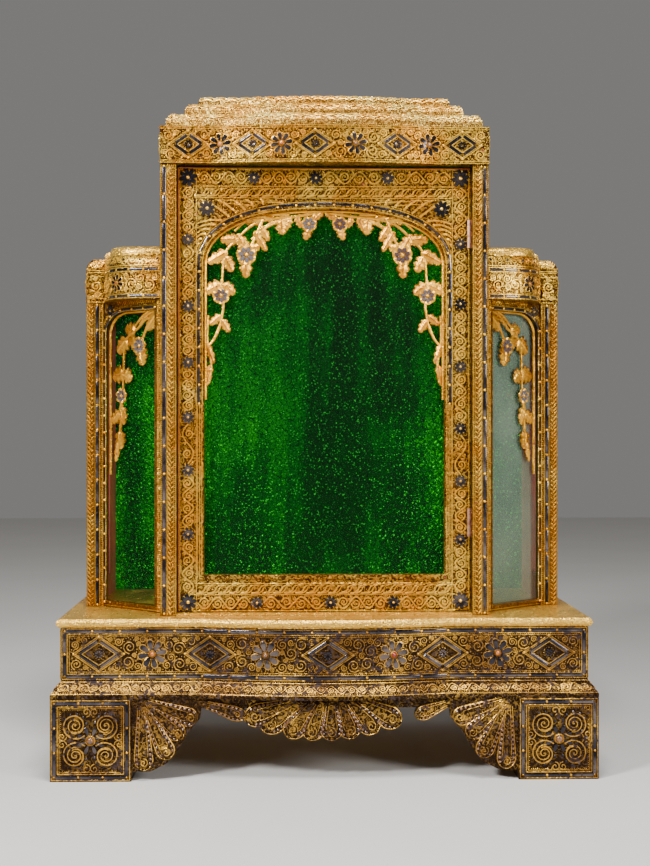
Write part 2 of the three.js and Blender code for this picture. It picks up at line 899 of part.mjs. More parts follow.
function hinge(centre) {
  const pitch = hingeLength / knuckles;
  const bottom = centre - hingeLength / 2;
  const post = [postLeafPlate(centre, 0)];
  const door = [doorLeafPlate(centre, 0)];
  for (let i = 0; i < knuckles; i += 1) {
    const z0 = bottom + i * pitch + seam / 2;
    const z1 = bottom + (i + 1) * pitch - seam / 2;
    const barrel = rod(barrelRadius, z0, z1 - z0);
    const tabHalf = leafThickness / 2;
    if (i % 2) {
      door.push(barrel, block(doorEdge - leafThickness, doorEdge, hingeY, doorFace + 1, z0, z1));
    } else {
      post.push(barrel, block(hingeX, postEdge + tabHalf, hingeY - tabHalf, hingeY + tabHalf, z0, z1));
    }
  }
  const bore = rod(pinRadius + pinClearance, bottom - seam, hingeLength + seam * 2);
  const pin = rod(pinRadius, bottom + seam, hingeLength - seam * 2);
  return { post: joined([...post, pin]), door: joined(door).subtract(bore) };
}

// Wings: everything is drawn for the right-hand side and mirrored for the left
function mirrored(side, solid) {
  return side < 0 ? solid.mirror([1, 0, 0]) : solid;
}

const windowInnerY = footFace + windowStart;
const windowOuterY = footFace + windowEnd;
const windowOuterX = wingPostInner - seam;
const windowRun = [windowOuterX - wingInner, windowOuterY - windowInnerY];
const windowAngle = Math.atan2(windowRun[1], windowRun[0]);
const windowDegrees = (windowAngle * 180) / Math.PI;
const windowLength = Math.hypot(...windowRun);
const windowBack = windowThickness / Math.cos(windowAngle); // thickness seen from the front

function wingPost(side) {
  const top = wingFriezeBottom - seam;
  const depth = wingPostWidth;
  const whole = block(wingPostInner, wingHalf, wingPostFace, wingPostFace + depth, bodyBottom, top);
  const bandFace = (x0, width, rise) =>
    block(x0, x0 + width, wingPostFace - rise, wingPostFace + sink, bodyBottom, top);
  const strip = bandFace(wingPostInner + wingStripMargin, stripWidth, stripRise);
  const rope = bandFace(wingHalf - stripMargin - ropeWidth, ropeWidth, ropeRise);
  return mirrored(side, joined([whole, strip, rope]));
}

// A wall that stands on the window's slanting line, between two depths behind its front
function windowWall(near, far, inset = 0) {
  const slope = windowRun[1] / windowRun[0];
  const x0 = wingInner + inset;
  const x1 = windowOuterX - inset;
  const y0 = windowInnerY + inset * slope;
  const y1 = windowOuterY - inset * slope;
  const plan = [
    [x0, y0 + near],
    [x1, y1 + near],
    [x1, y1 + far],
    [x0, y0 + far],
  ];
  return raised(plan, bodyBottom + inset, wingFriezeBottom - seam - inset);
}

// The window's opening as it is seen from the front: a half arch that rises to the inner end
function windowOpening(grow) {
  const x0 = wingInner + windowInnerStile - grow;
  const x1 = windowOuterX - windowOuterStile + grow;
  const crown = windowCrown + grow;
  const spring = crown - windowArchDrop - grow * 0.4;
  const flat = x0 + (x1 - x0) * 0.6;
  const points = [
    [x0, bodyBottom + windowRail - grow],
    [x1, bodyBottom + windowRail - grow],
  ];
  for (let i = 0; i <= 5; i += 1) {
    const angle = (i / 5) * (Math.PI / 2);
    points.push([flat + (x1 - flat) * Math.cos(angle), spring + (crown - spring) * Math.sin(angle)]);
  }
  points.push([x0, crown]);
  return board(points, footFace, overallDepth / 2);
}

function windowFrame(side) {
  const wall = windowWall(0, windowBack);
  const border = windowWall(-2, 1, 0.6).intersect(windowOpening(3.2));
  const rebate = windowWall(windowBack - glassThickness - seam, windowBack + 9, -5);
  const cut = rebate.intersect(windowOpening(2.4));
  return mirrored(side, wall.add(border).subtract(cut).subtract(windowOpening(0)));
}

function windowGlass(side) {
  const pane = windowWall(windowBack - glassThickness, windowBack - seam, 0.5);
  return mirrored(side, pane.intersect(windowOpening(2)));
}

// Across is measured along the window from its inner end, depth from its front plane
function inWindow(solid) {
  return solid.rotate([0, 0, windowDegrees]).translate([wingInner, windowInnerY, 0]);
}

// Garland of a wing's window: out from the window's outer edge and down from its crown
const wingStems = [
  [[112, -4], [96, -12], [82, -14], [66, -26], [50, -34], [36, -50], [33, -104], [31, -130]],
  [[92, -16], [80, -34], [71, -50]],
  [[31, -124], [24, -150], [8, -158], [5, -176], [5, -228]],
  [[31, -124], [25, -184], [20, -214]],
];
const wingLeaves = [
  [[112, -4], [88, -26], 8],
  [[60, -30], [40, -26], 7],
  [[42, -42], [22, -58], 8],
  [[71, -54], [76, -78], 8],
  [[70, -50], [46, -44], 6],
  [[34, -90], [12, -96], 8],
  [[34, -90], [50, -100], 7],
  [[29, -140], [34, -164], 6],
  [[26, -148], [9, -162], 6],
  [[25, -176], [27, -200], 7],
  [[22, -190], [16, -218], 4],
];
const wingFlowers = [
  [71, -52, 13],
  [31, -124, 11],
];

function wingGarland(side) {
  const crown = windowCrown;
  const outer = windowLength - windowOuterStile;
  const at = ([out, drop]) => [outer - out, crown + drop];
  const front = 3;
  const carving = garland(
    {
      stems: wingStems.map((line) => line.map(at)),
      leaves: wingLeaves.map(([start, end, width]) => [at(start), at(end), width]),
      flowers: wingFlowers.map(([out, drop, r]) => [outer - out, crown + drop, r]),
      radius: 2.2,
    },
    front,
  );
  const ribWall = windowWall(front + 1.5, front + garlandDepth);
  const upper = block(wingInner, windowOuterX, footFace, backFace, crown - ribReach, wingTop);
  const rib = ribWall.intersect(upper).subtract(windowOpening(-3.6));
  return mirrored(side, inWindow(carving).add(rib).intersect(windowOpening(-seam)));
}

// Side wall with its narrow pane, the rear stile of bare red lacquer
function sideFrame(side) {
  const y0 = wingPostFace + wingPostWidth + seam;
  const y1 = panelFront - seam;
  const top = wingFriezeBottom - seam;
  const wall = block(wingHalf - wingWall, wingHalf, y0, y1, bodyBottom, top);
  const hole = sideOpening(0, wingHalf - 99, wingHalf + 99);
  const rebate = sideOpening(4, wingHalf - wingWall - 9, wingHalf - wingWall + glassThickness + seam);
  return mirrored(side, wall.subtract(hole).subtract(rebate));
}

function sideOpening(grow, x0, x1) {
  const y0 = wingPostFace + wingPostWidth + sideWindowFront;
  const z0 = bodyBottom + sideWindowBottom;
  const z1 = wingFriezeBottom - sideWindowTop;
  return block(x0, x1, y0 - grow, y0 + sideWindowWidth + grow, z0 - grow, z1 + grow);
}

function sideGlass(side) {
  const inner = wingHalf - wingWall;
  return mirrored(side, sideOpening(3.7, inner + seam, inner + glassThickness));
}

// Plan of a wing's frieze and roof: a drum that swells in front of the window, then the
// corner post's flat face and the straight side
function wingPlan(inset, bulge = wingBulge) {
  const x0 = wingInner;
  const x1 = wingPostInner - 1 - inset * 0.3;
  const a = [x0, windowInnerY - 2 + inset];
  const b = [x1, windowOuterY - 4 + inset * 0.6];
  const points = [];
  const steps = 8;
  const dx = b[0] - a[0];
  const dy = b[1] - a[1];
  const length = Math.hypot(dx, dy);
  for (let i = 0; i <= steps; i += 1) {
    const t = i / steps;
    const swell = bulge * 4 * t * (1 - t) * (0.75 + 0.25 * Math.sin(Math.PI * t));
    points.push([a[0] + dx * t + (dy / length) * swell, a[1] + dy * t - (dx / length) * swell]);
  }
  points.push([wingPostInner + 1 - inset * 0.3, wingPostFace - 2 + inset * 0.6]);
  points.push([wingHalf - inset, wingPostFace - 2 + inset * 0.6]);
  points.push([wingHalf - inset, panelFront - seam]);
  points.push([x0, panelFront - seam]);
  return points;
}

function wingFrieze(side) {
  const whole = raised(wingPlan(0), wingFriezeBottom, wingTop);
  const hole = raised(
    [
      [wingInner - 9, windowInnerY + windowBack],
      [wingPostInner - seam, windowOuterY + windowBack],
      [wingHalf - wingWall, windowOuterY + windowBack + 8],
      [wingHalf - wingWall, backFace],
      [wingInner - 9, backFace],
    ],
    0,
    wingTop + 9,
  );
  const middle = (wingFriezeBottom + wingTop) / 2;
  const t = 0.5;
  const x = wingInner + windowRun[0] * t + Math.sin(windowAngle) * wingBulge;
  const y = windowInnerY + windowRun[1] * t - Math.cos(windowAngle) * wingBulge;
  const bloom = flower(13, 2.5).rotate([0, 0, windowDegrees]).translate([x, y - 0.6, middle]);
  return mirrored(side, whole.subtract(hole).add(bloom));
}

function wingCove(side) {
  const profile = [0, 0.25, 0.5, 0.75, 1].map((share) => {
    const angle = (share * Math.PI) / 2;
    return [wingCoveInset * (1 - Math.cos(angle)), wingTop + seam + (wingCoveRise - seam) * Math.sin(angle)];
  });
  return mirrored(side, moulded((inset) => wingPlan(inset), profile));
}

function wingRoof(side) {
  const bottom = wingTop + wingCoveRise + seam;
  const profile = [
    [wingRoofInset, bottom],
    [wingRoofInset, bottom + 5],
    [wingRoofInset + 2, bottom + 9],
    [wingRoofInset + 6, bottom + wingRoofRise],
  ];
  return mirrored(side, moulded((inset) => wingPlan(inset, wingBulge + 6), profile));
}

// Assembly
const shrine = new THREE.Group();
const base = new THREE.Group();
const centre = new THREE.Group();
const door = new THREE.Group();
const wings = new THREE.Group();
shrine.add(base, centre, door, wings);

const gold = finish("gold");
const wornGold = finish("worn_gold");
const lacquer = finish("lacquer");
const hingeMetal = finish("hinge_metal");
const glass = glassFinish();
const glitter = glitterFinish();
const sides = [
  ["left", -1],
  ["right", 1],
];

sides.forEach(([word, side]) => {
  piece(`foot_front_${word}`, footBlock(side, true), wornGold, base);
  piece(`foot_back_${word}`, footBlock(side, false), lacquer, base);
  piece(`bracket_front_${word}`, frontBracket(side), wornGold, base);
  piece(`apron_${word}`, sideApron(side), wornGold, base);
});
piece("apron_front", shellApron(), wornGold, base);
piece("apron_back", backApron(), lacquer, base);
piece("base_moulding", baseMoulding(), wornGold, base);
piece("base_dado", baseDado(), wornGold, base);
piece("base_board", baseBoard(), gold, base);

sides.forEach(([word, side]) => {
  piece(`front_post_${word}`, frontPost(side), gold, centre);
  piece(`upper_side_${word}`, upperSide(side), gold, centre);
});
piece("sill", sill(), gold, centre);
piece("back_panel", backPanel(), lacquer, centre);
piece("back_lining", backLining(), glitter, centre);
piece("ceiling", ceiling(), lacquer, centre);
piece("frieze", frieze(), gold, centre);
["lower", "middle", "upper"].forEach((word, i) => piece(`cap_${word}`, capTier(i), gold, centre));

piece("door_frame", doorFrame(), gold, door);
piece("door_glass", doorGlass(), glass, door);
piece("door_garland", doorGarland(), gold, door);
["lower", "upper"].forEach((word, i) => {
  const leaves = hinge(hingeCentres[i]);
  piece(`hinge_${word}_post_leaf`, leaves.post, hingeMetal, centre);
  piece(`hinge_${word}_door_leaf`, leaves.door, hingeMetal, door);
});

sides.forEach(([word, side]) => {
  piece(`wing_post_${word}`, wingPost(side), gold, wings);
  piece(`wing_window_${word}`, windowFrame(side), gold, wings);
  piece(`wing_glass_${word}`, windowGlass(side), glass, wings);
  piece(`wing_garland_${word}`, wingGarland(side), gold, wings);
  piece(`wing_side_${word}`, sideFrame(side), lacquer, wings);
  piece(`wing_side_glass_${word}`, sideGlass(side), glass, wings);
  piece(`wing_frieze_${word}`, wingFrieze(side), gold, wings);
  piece(`wing_cove_${word}`, wingCove(side), gold, wings);
  piece(`wing_roof_${word}`, wingRoof(side), gold, wings);
});

export default shrine;
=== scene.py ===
"""A gilt and glazed household shrine: carved putty scrolls, mirror strips and beads laid over
its frame of wood, an arched glass door with a pierced garland, and a green glitter lining."""

import math

import bpy
import numpy as np
from mathutils import Euler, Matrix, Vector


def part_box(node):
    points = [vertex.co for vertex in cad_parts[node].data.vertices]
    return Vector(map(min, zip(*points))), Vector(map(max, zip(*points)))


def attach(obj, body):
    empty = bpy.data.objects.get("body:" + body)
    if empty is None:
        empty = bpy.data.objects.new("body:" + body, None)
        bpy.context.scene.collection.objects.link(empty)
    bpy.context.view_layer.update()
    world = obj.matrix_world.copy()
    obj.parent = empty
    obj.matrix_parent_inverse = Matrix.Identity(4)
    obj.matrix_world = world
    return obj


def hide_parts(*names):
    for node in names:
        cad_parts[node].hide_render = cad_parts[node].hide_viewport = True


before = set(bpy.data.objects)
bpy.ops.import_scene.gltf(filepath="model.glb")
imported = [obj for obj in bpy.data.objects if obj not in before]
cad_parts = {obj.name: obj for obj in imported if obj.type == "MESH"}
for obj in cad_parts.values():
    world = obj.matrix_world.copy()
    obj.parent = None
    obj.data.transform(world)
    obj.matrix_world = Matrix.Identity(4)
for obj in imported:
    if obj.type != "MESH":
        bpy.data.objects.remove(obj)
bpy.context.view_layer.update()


# Front feet. Two block feet of wood, gilded over putty scrolls that turn round a mirror
# flower. Short strips of mirror glass, held by round nail heads, frame each face. The helpers
# here make every later piece too: sizes are drawn in millimetres and stored in metres.
MM = 0.001
# Relief value of plain bodies, which sets how much painted shade the gildings give them.
GROUND = 0.24
CREASE = math.radians(38)
SIDES = (("left", -1), ("right", 1))


def corners(node):
    """Lowest and highest corner of a part of the frame, in millimetres."""
    return [np.array(corner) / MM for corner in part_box(node)]


def skin(copies, rings, points, wrapped=False):
    """Faces of closed lofts laid one after another: quads between neighbouring rings and two
    end faces, or quads all the way round when the last ring meets the first."""
    first = np.arange(copies)[:, None, None] * rings * points
    ring = np.arange(rings if wrapped else rings - 1)[None, :, None]
    here = np.arange(points)[None, None, :]
    after = (here + 1) % points
    low = first + ring * points
    high = first + (ring + 1) % rings * points
    sides = np.stack([low + here, low + after, high + after, high + here], -1).reshape(-1, 4)
    if wrapped:
        return [sides]
    start = first[:, 0] + here[0, :, ::-1]
    end = first[:, 0] + (rings - 1) * points + here[0]
    return [sides, start, end]


def outward(points, faces):
    """The same faces, turned over when six times the volume inside them comes out negative:
    the sum of every triangle's triple product."""
    volume = 0.0
    for group in faces:
        for i in range(1, group.shape[1] - 1):
            a, b, c = points[group[:, 0]], points[group[:, i]], points[group[:, i + 1]]
            volume += np.einsum("ij,ij->", a, np.cross(b, c))
    return faces if volume > 0 else [group[:, ::-1] for group in faces]


def loft(rings, wrapped=False):
    """One plain body through rings of points, as its points, faces and relief."""
    points = np.concatenate(rings)
    faces = outward(points, skin(1, len(rings), len(rings[0]), wrapped))
    return points, faces, np.full(len(points), GROUND)


def add_piece(name, parts, finish, body="cabinet", stands_for=()):
    """One mesh from parts of (points in millimetres, faces, relief). The relief value, 0 in
    the ground and 1 on a ridge, goes with the mesh for its finish to read; the gildings paint
    shade where it is low."""
    points = np.concatenate([part[0] for part in parts]) * MM
    relief = np.concatenate([part[2] for part in parts])
    starts = np.cumsum([0] + [len(part[0]) for part in parts])
    groups = [group + start for part, start in zip(parts, starts) for group in part[1]]
    sizes = np.concatenate([np.full(len(group), group.shape[1]) for group in groups])
    loops = np.concatenate([group.ravel() for group in groups])
    mesh = bpy.data.meshes.new(name)
    mesh.vertices.add(len(points))
    mesh.vertices.foreach_set("co", points.astype(np.float32).ravel())
    mesh.loops.add(len(loops))
    mesh.loops.foreach_set("vertex_index", loops.astype(np.int32))
    mesh.polygons.add(len(sizes))
    mesh.polygons.foreach_set("loop_start", (np.cumsum(sizes) - sizes).astype(np.int32))
    mesh.update(calc_edges=True)
    mesh.attributes.new("relief", "FLOAT", "POINT").data.foreach_set("value", relief.astype(np.float32))
    mesh.shade_smooth()
    mesh.set_sharp_from_angle(angle=CREASE)
    mesh.materials.append(finish)
    piece = bpy.data.objects.new(name, mesh)
    bpy.context.scene.collection.objects.link(piece)
    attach(piece, body)
    if stands_for:
        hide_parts(*stands_for)


def flat_front(front):
    """A face that looks forward: across is x, up is z, and out is towards -Y."""
    return lambda across, up, out: np.stack([across, front - out, up], -1)


def rectangle(x0, x1, z0, z1):
    """The four corners of a panel, from the lower left."""
    return np.array([(x0, z0), (x1, z0), (x1, z1), (x0, z1)], float)


def drawn_in(low, high, inset):
    """The corners of a panel that stays inside its lowest and highest corner by an inset."""
    return rectangle(low[0] + inset, high[0] - inset, low[1] + inset, high[1] - inset)


def sides_of(loop):
    """Every side of a closed line, as (count, start and end, 2)."""
    return np.stack([loop, np.roll(loop, -1, 0)], 1)


def upright(outline, y):
    """An outline of (across, up) points stood up at a depth."""
    return np.insert(np.asarray(outline, float), 1, y, 1)


def around(count, turn=0.0):
    """Evenly spaced angles of a full turn."""
    return np.arange(count) / count * 2 * np.pi + turn


def on_circle(angle):
    """Points of a circle of radius 1: the cosine and the sine of their angles."""
    return np.stack([np.cos(angle), np.sin(angle)], -1)


# Closed forms, as rings of (across, up, out) with a size of one. They are sunk a little.
def turned_form(profile, sides):
    """A form turned about its outward axis: one ring of points for each (radius, out) step."""
    return np.array([np.insert(radius * on_circle(around(sides)), 2, out, 1) for radius, out in profile])


def long_form(stations, section):
    """A form that runs up from 0 to 1: each station (along, width, height) scales the section
    of (across, out) points, of which those at out 0 stay sunk in the ground."""
    rings = []
    for up, width, height in stations:
        rings.append([(x * width, up, out * height if out > 0 else -0.25) for x, out in section])
    return np.array(rings)


BEAD = turned_form([(1, -0.2), (0.93, 0.45), (0.62, 0.86), (0.22, 1)], 8)
GRAIN = turned_form([(1, -0.3), (0.55, 1)], 4)
DISC = turned_form([(1, -0.3), (1, 0.6), (0.72, 1)], 8)
COLLAR = turned_form([(1, -0.3), (0.96, 0.7), (0.8, 1), (0.62, 0.6)], 10)
BAR_RINGS = ((1, 1, -0.3), (1, 1, 0.7), (0.7, 0.96, 1))
BAR = np.array([np.insert(rectangle(-wide, wide, -tall, tall), 2, out, 1) for wide, tall, out in BAR_RINGS])
PETAL = long_form(
    [(0, 0.35, 0.7), (0.35, 0.8, 1), (0.7, 1, 1), (0.93, 0.7, 0.9), (1, 0.25, 0.6)],
    [(-1, 0), (-0.75, 1), (0.75, 1), (1, 0)],
)


def copies(face, form, places, size, turn=0.0):
    """Copies of a form on a face: each is stretched to its size of (across, up, out), turned
    by its own angle and moved to its place of (across, up)."""
    places = np.asarray(places, float).reshape(-1, 2)
    size = np.broadcast_to(np.asarray(size, float), (len(places), 3))
    turn = np.broadcast_to(turn, len(places))[:, None, None]
    wide, tall, out = (form[None, :, :, i] * size[:, i, None, None] for i in range(3))
    across = places[:, 0, None, None] + wide * np.cos(turn) - tall * np.sin(turn)
    up = places[:, 1, None, None] + wide * np.sin(turn) + tall * np.cos(turn)
    points = face(across, up, out).reshape(-1, 3)
    faces = outward(points, skin(len(places), *form.shape[:2]))
    relief = np.broadcast_to(form[..., 2] > 0, out.shape).astype(float)
    return points, faces, relief.ravel()


def threads(face, curves, half, rise, taper=0.0):
    """Putty threads along curves (count, points, 2): a section of four points, two sunk in
    the ground and two raised, stands square to each curve and thins evenly by the taper."""
    curves = np.asarray(curves, float)
    curves = curves[None] if curves.ndim == 2 else curves
    size = 1 - taper * np.linspace(0, 1, curves.shape[1])[None, :, None]
    ahead = np.gradient(curves, axis=1)
    ahead /= np.linalg.norm(ahead, axis=2, keepdims=True) + 1e-9
    across = np.array([-1, -0.45, 0.45, 1]) * half * size
    out = np.array([0, 1, 1, 0]) * rise * size - np.array([0.3, 0, 0, 0.3])
    u = curves[..., 0:1] - ahead[..., 1:2] * across
    v = curves[..., 1:2] + ahead[..., 0:1] * across
    points = face(u, v, np.broadcast_to(out, u.shape)).reshape(-1, 3)
    relief = np.broadcast_to(np.array([0.15, 1, 1, 0.15]), u.shape)
    return points, outward(points, skin(*u.shape)), relief.ravel()


def spiral(turns=1.55, steps=15, inner=0.16):
    """A volute of radius 1: the radius falls evenly to its inner end as the angle runs on."""
    share = np.linspace(0, 1, steps)
    return (1 - (1 - inner) * share)[:, None] * on_circle(share * turns * 2 * np.pi)


def set_out(curve, places, size, turn=0.0, hand=1.0):
    """Copies of one curve (points, 2): mirrored by hand, turned, sized and moved."""
    places = np.asarray(places, float).reshape(-1, 2)
    size, turn, hand = (np.broadcast_to(given, len(places))[:, None] for given in (size, turn, hand))
    x = curve[None, :, 0] * size
    y = curve[None, :, 1] * size * hand
    across = places[:, 0:1] + x * np.cos(turn) - y * np.sin(turn)
    up = places[:, 1:2] + x * np.sin(turn) + y * np.cos(turn)
    return np.stack([across, up], 2)


def along(path, pitch):
    """Points on a polyline, evenly spaced by length about one pitch apart, both ends kept."""
    path = np.asarray(path, float)
    run = np.r_[0, np.cumsum(np.linalg.norm(np.diff(path, axis=0), axis=1))]
    spots = np.linspace(0, run[-1], max(2, int(round(run[-1] / pitch)) + 1))
    return np.stack([np.interp(spots, run, path[:, i]) for i in (0, 1)], 1)


def bars(face, joints, width, gap, rise):
    """A strip of glass from each joint to the next, short of both by the gap."""
    ahead = np.diff(joints, axis=0)
    length = np.linalg.norm(ahead, axis=1)
    flat = np.ones(len(length))
    size = np.stack([flat * width / 2, length / 2 - gap, flat * rise], 1)
    turn = np.arctan2(ahead[:, 1], ahead[:, 0]) - np.pi / 2
    return copies(face, BAR, (joints[:-1] + joints[1:]) / 2, size, turn)


def petals_round(centre, start, count, turn):
    """Places and turns of petals that stand round a centre, begun at a radius."""
    angle = around(count, turn)
    return start * on_circle(angle) + centre, angle - np.pi / 2


class Carving:
    """Putty and mirror glass laid on a face, kept until pieces are made of them."""

    def __init__(self, face=None, *gilt):
        self.face = face
        self.gilt = list(gilt)
        self.mirrors = []

    def on(self, face):
        """The same carving, carried on over another face."""
        other = Carving(face)
        other.gilt = self.gilt
        other.mirrors = self.mirrors
        return other

    def putty(self, form, spots, size, turn=0.0):
        self.gilt.append(copies(self.face, form, spots, size, turn))

    def glass(self, form, spots, size, turn=0.0):
        self.mirrors.append(copies(self.face, form, spots, size, turn))

    def thread(self, curves, half, rise, taper=0.0):
        self.gilt.append(threads(self.face, curves, half, rise, taper))

    def line(self, start, end, half, rise, pitch=40):
        self.thread(along((start, end), pitch), half, rise)

    def row(self, start, end, pitch, radius, rise):
        """A straight row of putty grains."""
        self.putty(GRAIN, along((start, end), pitch), (radius, radius, rise))

    def strips(self, path, pitch, width=4.6, gap=1.7):
        """Mirror strips end to end along a path, and a nail head at every joint."""
        joints = along(path, pitch)
        self.mirrors.append(bars(self.face, joints, width, gap, 1.3))
        self.putty(BEAD, joints, (2.0, 2.0, 2.2))


class Value:
    """A shader socket that can be written in sums: each operator adds one Math node."""

    def __init__(self, tree, socket=None):
        self.tree = tree
        self.socket = socket

    def node(self, kind, settings=(), inputs=(), output=0):
        """Adds a node: its settings first, then the values or links of its sockets."""
        made = self.tree.nodes.new(kind)
        for key, setting in dict(settings).items():
            setattr(made, key, setting)
        for key, given in dict(inputs).items():
            if isinstance(given, Value):
                self.tree.links.new(given.socket, made.inputs[key])
            else:
                made.inputs[key].default_value = given
        return Value(self.tree, made.outputs[output])

    def maths(self, operation, *others):
        return self.node("ShaderNodeMath", {"operation": operation}, dict(enumerate((self, *others))))

    def __add__(self, other):
        return self.maths("ADD", other)

    def __mul__(self, other):
        return self.maths("MULTIPLY", other)

    def __sub__(self, other):
        return self.maths("SUBTRACT", other)

    def __rsub__(self, other):
        return self * -1.0 + other

    __radd__ = __add__
    __rmul__ = __mul__

    def over(self, low, high):
        """0 below low, 1 above high and smooth between them."""
        settings = {"interpolation_type": "SMOOTHSTEP"}
        return self.node("ShaderNodeMapRange", settings, {0: self, 1: low, 2: high})

    def mixed(self, first, second):
        """The first colour where this value is 0, the second where it is 1."""
        return self.node("ShaderNodeMix", {"data_type": "RGBA"}, {0: self, 6: first, 7: second}, 2)


def colour(red, green, blue):
    """A colour for a socket."""
    return (red, green, blue, 1.0)


def new_finish(name, **constants):
    """A material with one Principled shader: constants are set on the shader's sockets.
    Returns the material, its shader, its place on the piece and a noise of a given scale."""
    material = bpy.data.materials.new(name)
    material.use_nodes = True
    tree = material.node_tree
    shader = tree.nodes["Principled BSDF"]
    for key, given in constants.items():
        shader.inputs[key.replace("_", " ").title()].default_value = given
    place = Value(tree).node("ShaderNodeTexCoord", output=3)

    def noise(scale, detail=2.0, vector=place):
        return place.node("ShaderNodeTexNoise", {}, {"Vector": vector, "Scale": scale, "Detail": detail})

    return material, shader, place, noise


def feed(shader, bump=None, depth=0.0002, **values):
    """Links values that change over the surface, and a bump of a given depth in metres."""
    tree = shader.id_data
    for key, given in values.items():
        tree.links.new(given.socket, shader.inputs[key.replace("_", " ").title()])
    if bump:
        inputs = {"Height": bump, "Distance": depth, "Strength": 1.0}
        tree.links.new(bump.node("ShaderNodeBump", {}, inputs).socket, shader.inputs["Normal"])


def gilding(name, leaf, shade, ground, lacquer, wear, shade_reach=0.35):
    """Gold leaf over lacquer: painted shade on the ground and at the foot of each thread by the
    relief value, so that the ridges stand bright, patches between two golds, noisy patches where
    the painted shade reaches further up the threads, worm lines of fine putty as the sine of a
    noise, and bare lacquer where a fine noise rises above the wear line."""
    material, shader, place, noise = new_finish(name)
    ridge = place.node("ShaderNodeAttribute", {"attribute_name": "relief"}, output=2)
    gold = noise(16.0, 3.0).over(0.38, 0.62).mixed(leaf, shade)
    fine = noise(160.0, 4.0)
    bare = (fine + noise(30.0) * 0.5).over(wear, wear + 0.1)
    worm = (noise(120.0, 1.0) * 30.0).maths("SINE").over(-0.7, 0.5)
    # Painted shade: a noise that lets the dark ground reach further up the threads in patches.
    shade_spread = noise(55.0, 2.0) * shade_reach
    # Low relief takes the ground colour as painted shade in the hollows and at the foot of each thread.
    gold_and_painted_shade = (ridge + fine * 0.3 + worm * 0.3 - shade_spread).over(0.12, 0.95).mixed(ground, gold)
    feed(
        shader,
        bump=noise(420.0, 3.0) + noise(90.0) * 1.5 + worm * (1.0 - ridge) * 2.2,
        depth=0.0006,
        base_color=bare.mixed(gold_and_painted_shade, lacquer),
        metallic=0.85 - bare * 0.7,
        roughness=0.16 + fine * 0.3 + bare * 0.25,
    )
    return material


def glass_setting(name, tint, second, roughness):
    """Mirror glass in dark metal backing: a tint that drifts between two colours in broad
    patches, tarnished by a fine noise, and a slightly uneven face."""
    material, shader, place, noise = new_finish(name, metallic=0.85)
    drift = noise(22.0).over(0.4, 0.6)
    speck = noise(260.0, 3.0).over(0.56, 0.72)
    tarnished = speck.mixed(drift.mixed(tint, second), colour(0.05, 0.035, 0.03))
    feed(shader, bump=noise(120.0), depth=0.0003, base_color=tarnished, roughness=roughness + speck * 0.4)
    return material


def cabochon_finish(name, tint, deep):
    """A domed glass stone: clear coat over a tint that deepens in soft clouds."""
    material, shader, place, noise = new_finish(name, roughness=0.18, coat_weight=1.0)
    cloud = noise(150.0, 3.0).over(0.35, 0.7)
    feed(shader, bump=noise(300.0), depth=0.0001, base_color=cloud.mixed(tint, deep))
    return material


# The base's gilding: its near-black ground is partly the base's real dark lacquer between the scrolls and
# partly painted shade, which reaches far up its threads.
worn_gilding = gilding(
    "worn_gilding",
    leaf=colour(0.85, 0.47, 0.07),
    shade=colour(0.38, 0.18, 0.03),
    ground=colour(0.022, 0.009, 0.003),
    lacquer=colour(0.03, 0.01, 0.007),
    wear=0.82,
    shade_reach=0.75,
)
dark_mirror = glass_setting("dark_mirror", colour(0.03, 0.028, 0.036), colour(0.14, 0.11, 0.1), 0.16)
amber_glass = cabochon_finish("amber_glass", colour(0.62, 0.2, 0.03), colour(0.3, 0.07, 0.01))
brown_glass = cabochon_finish("brown_glass", colour(0.2, 0.08, 0.03), colour(0.07, 0.025, 0.01))


def add_pair(work, stem, finish, kind="gilt", stands_for=()):
    """A carving's putty as one piece and its mirror glass as another."""
    add_piece(f"{stem}_{kind}", work.gilt, finish, stands_for=stands_for)
    add_piece(f"{stem}_mirrors", work.mirrors, dark_mirror)


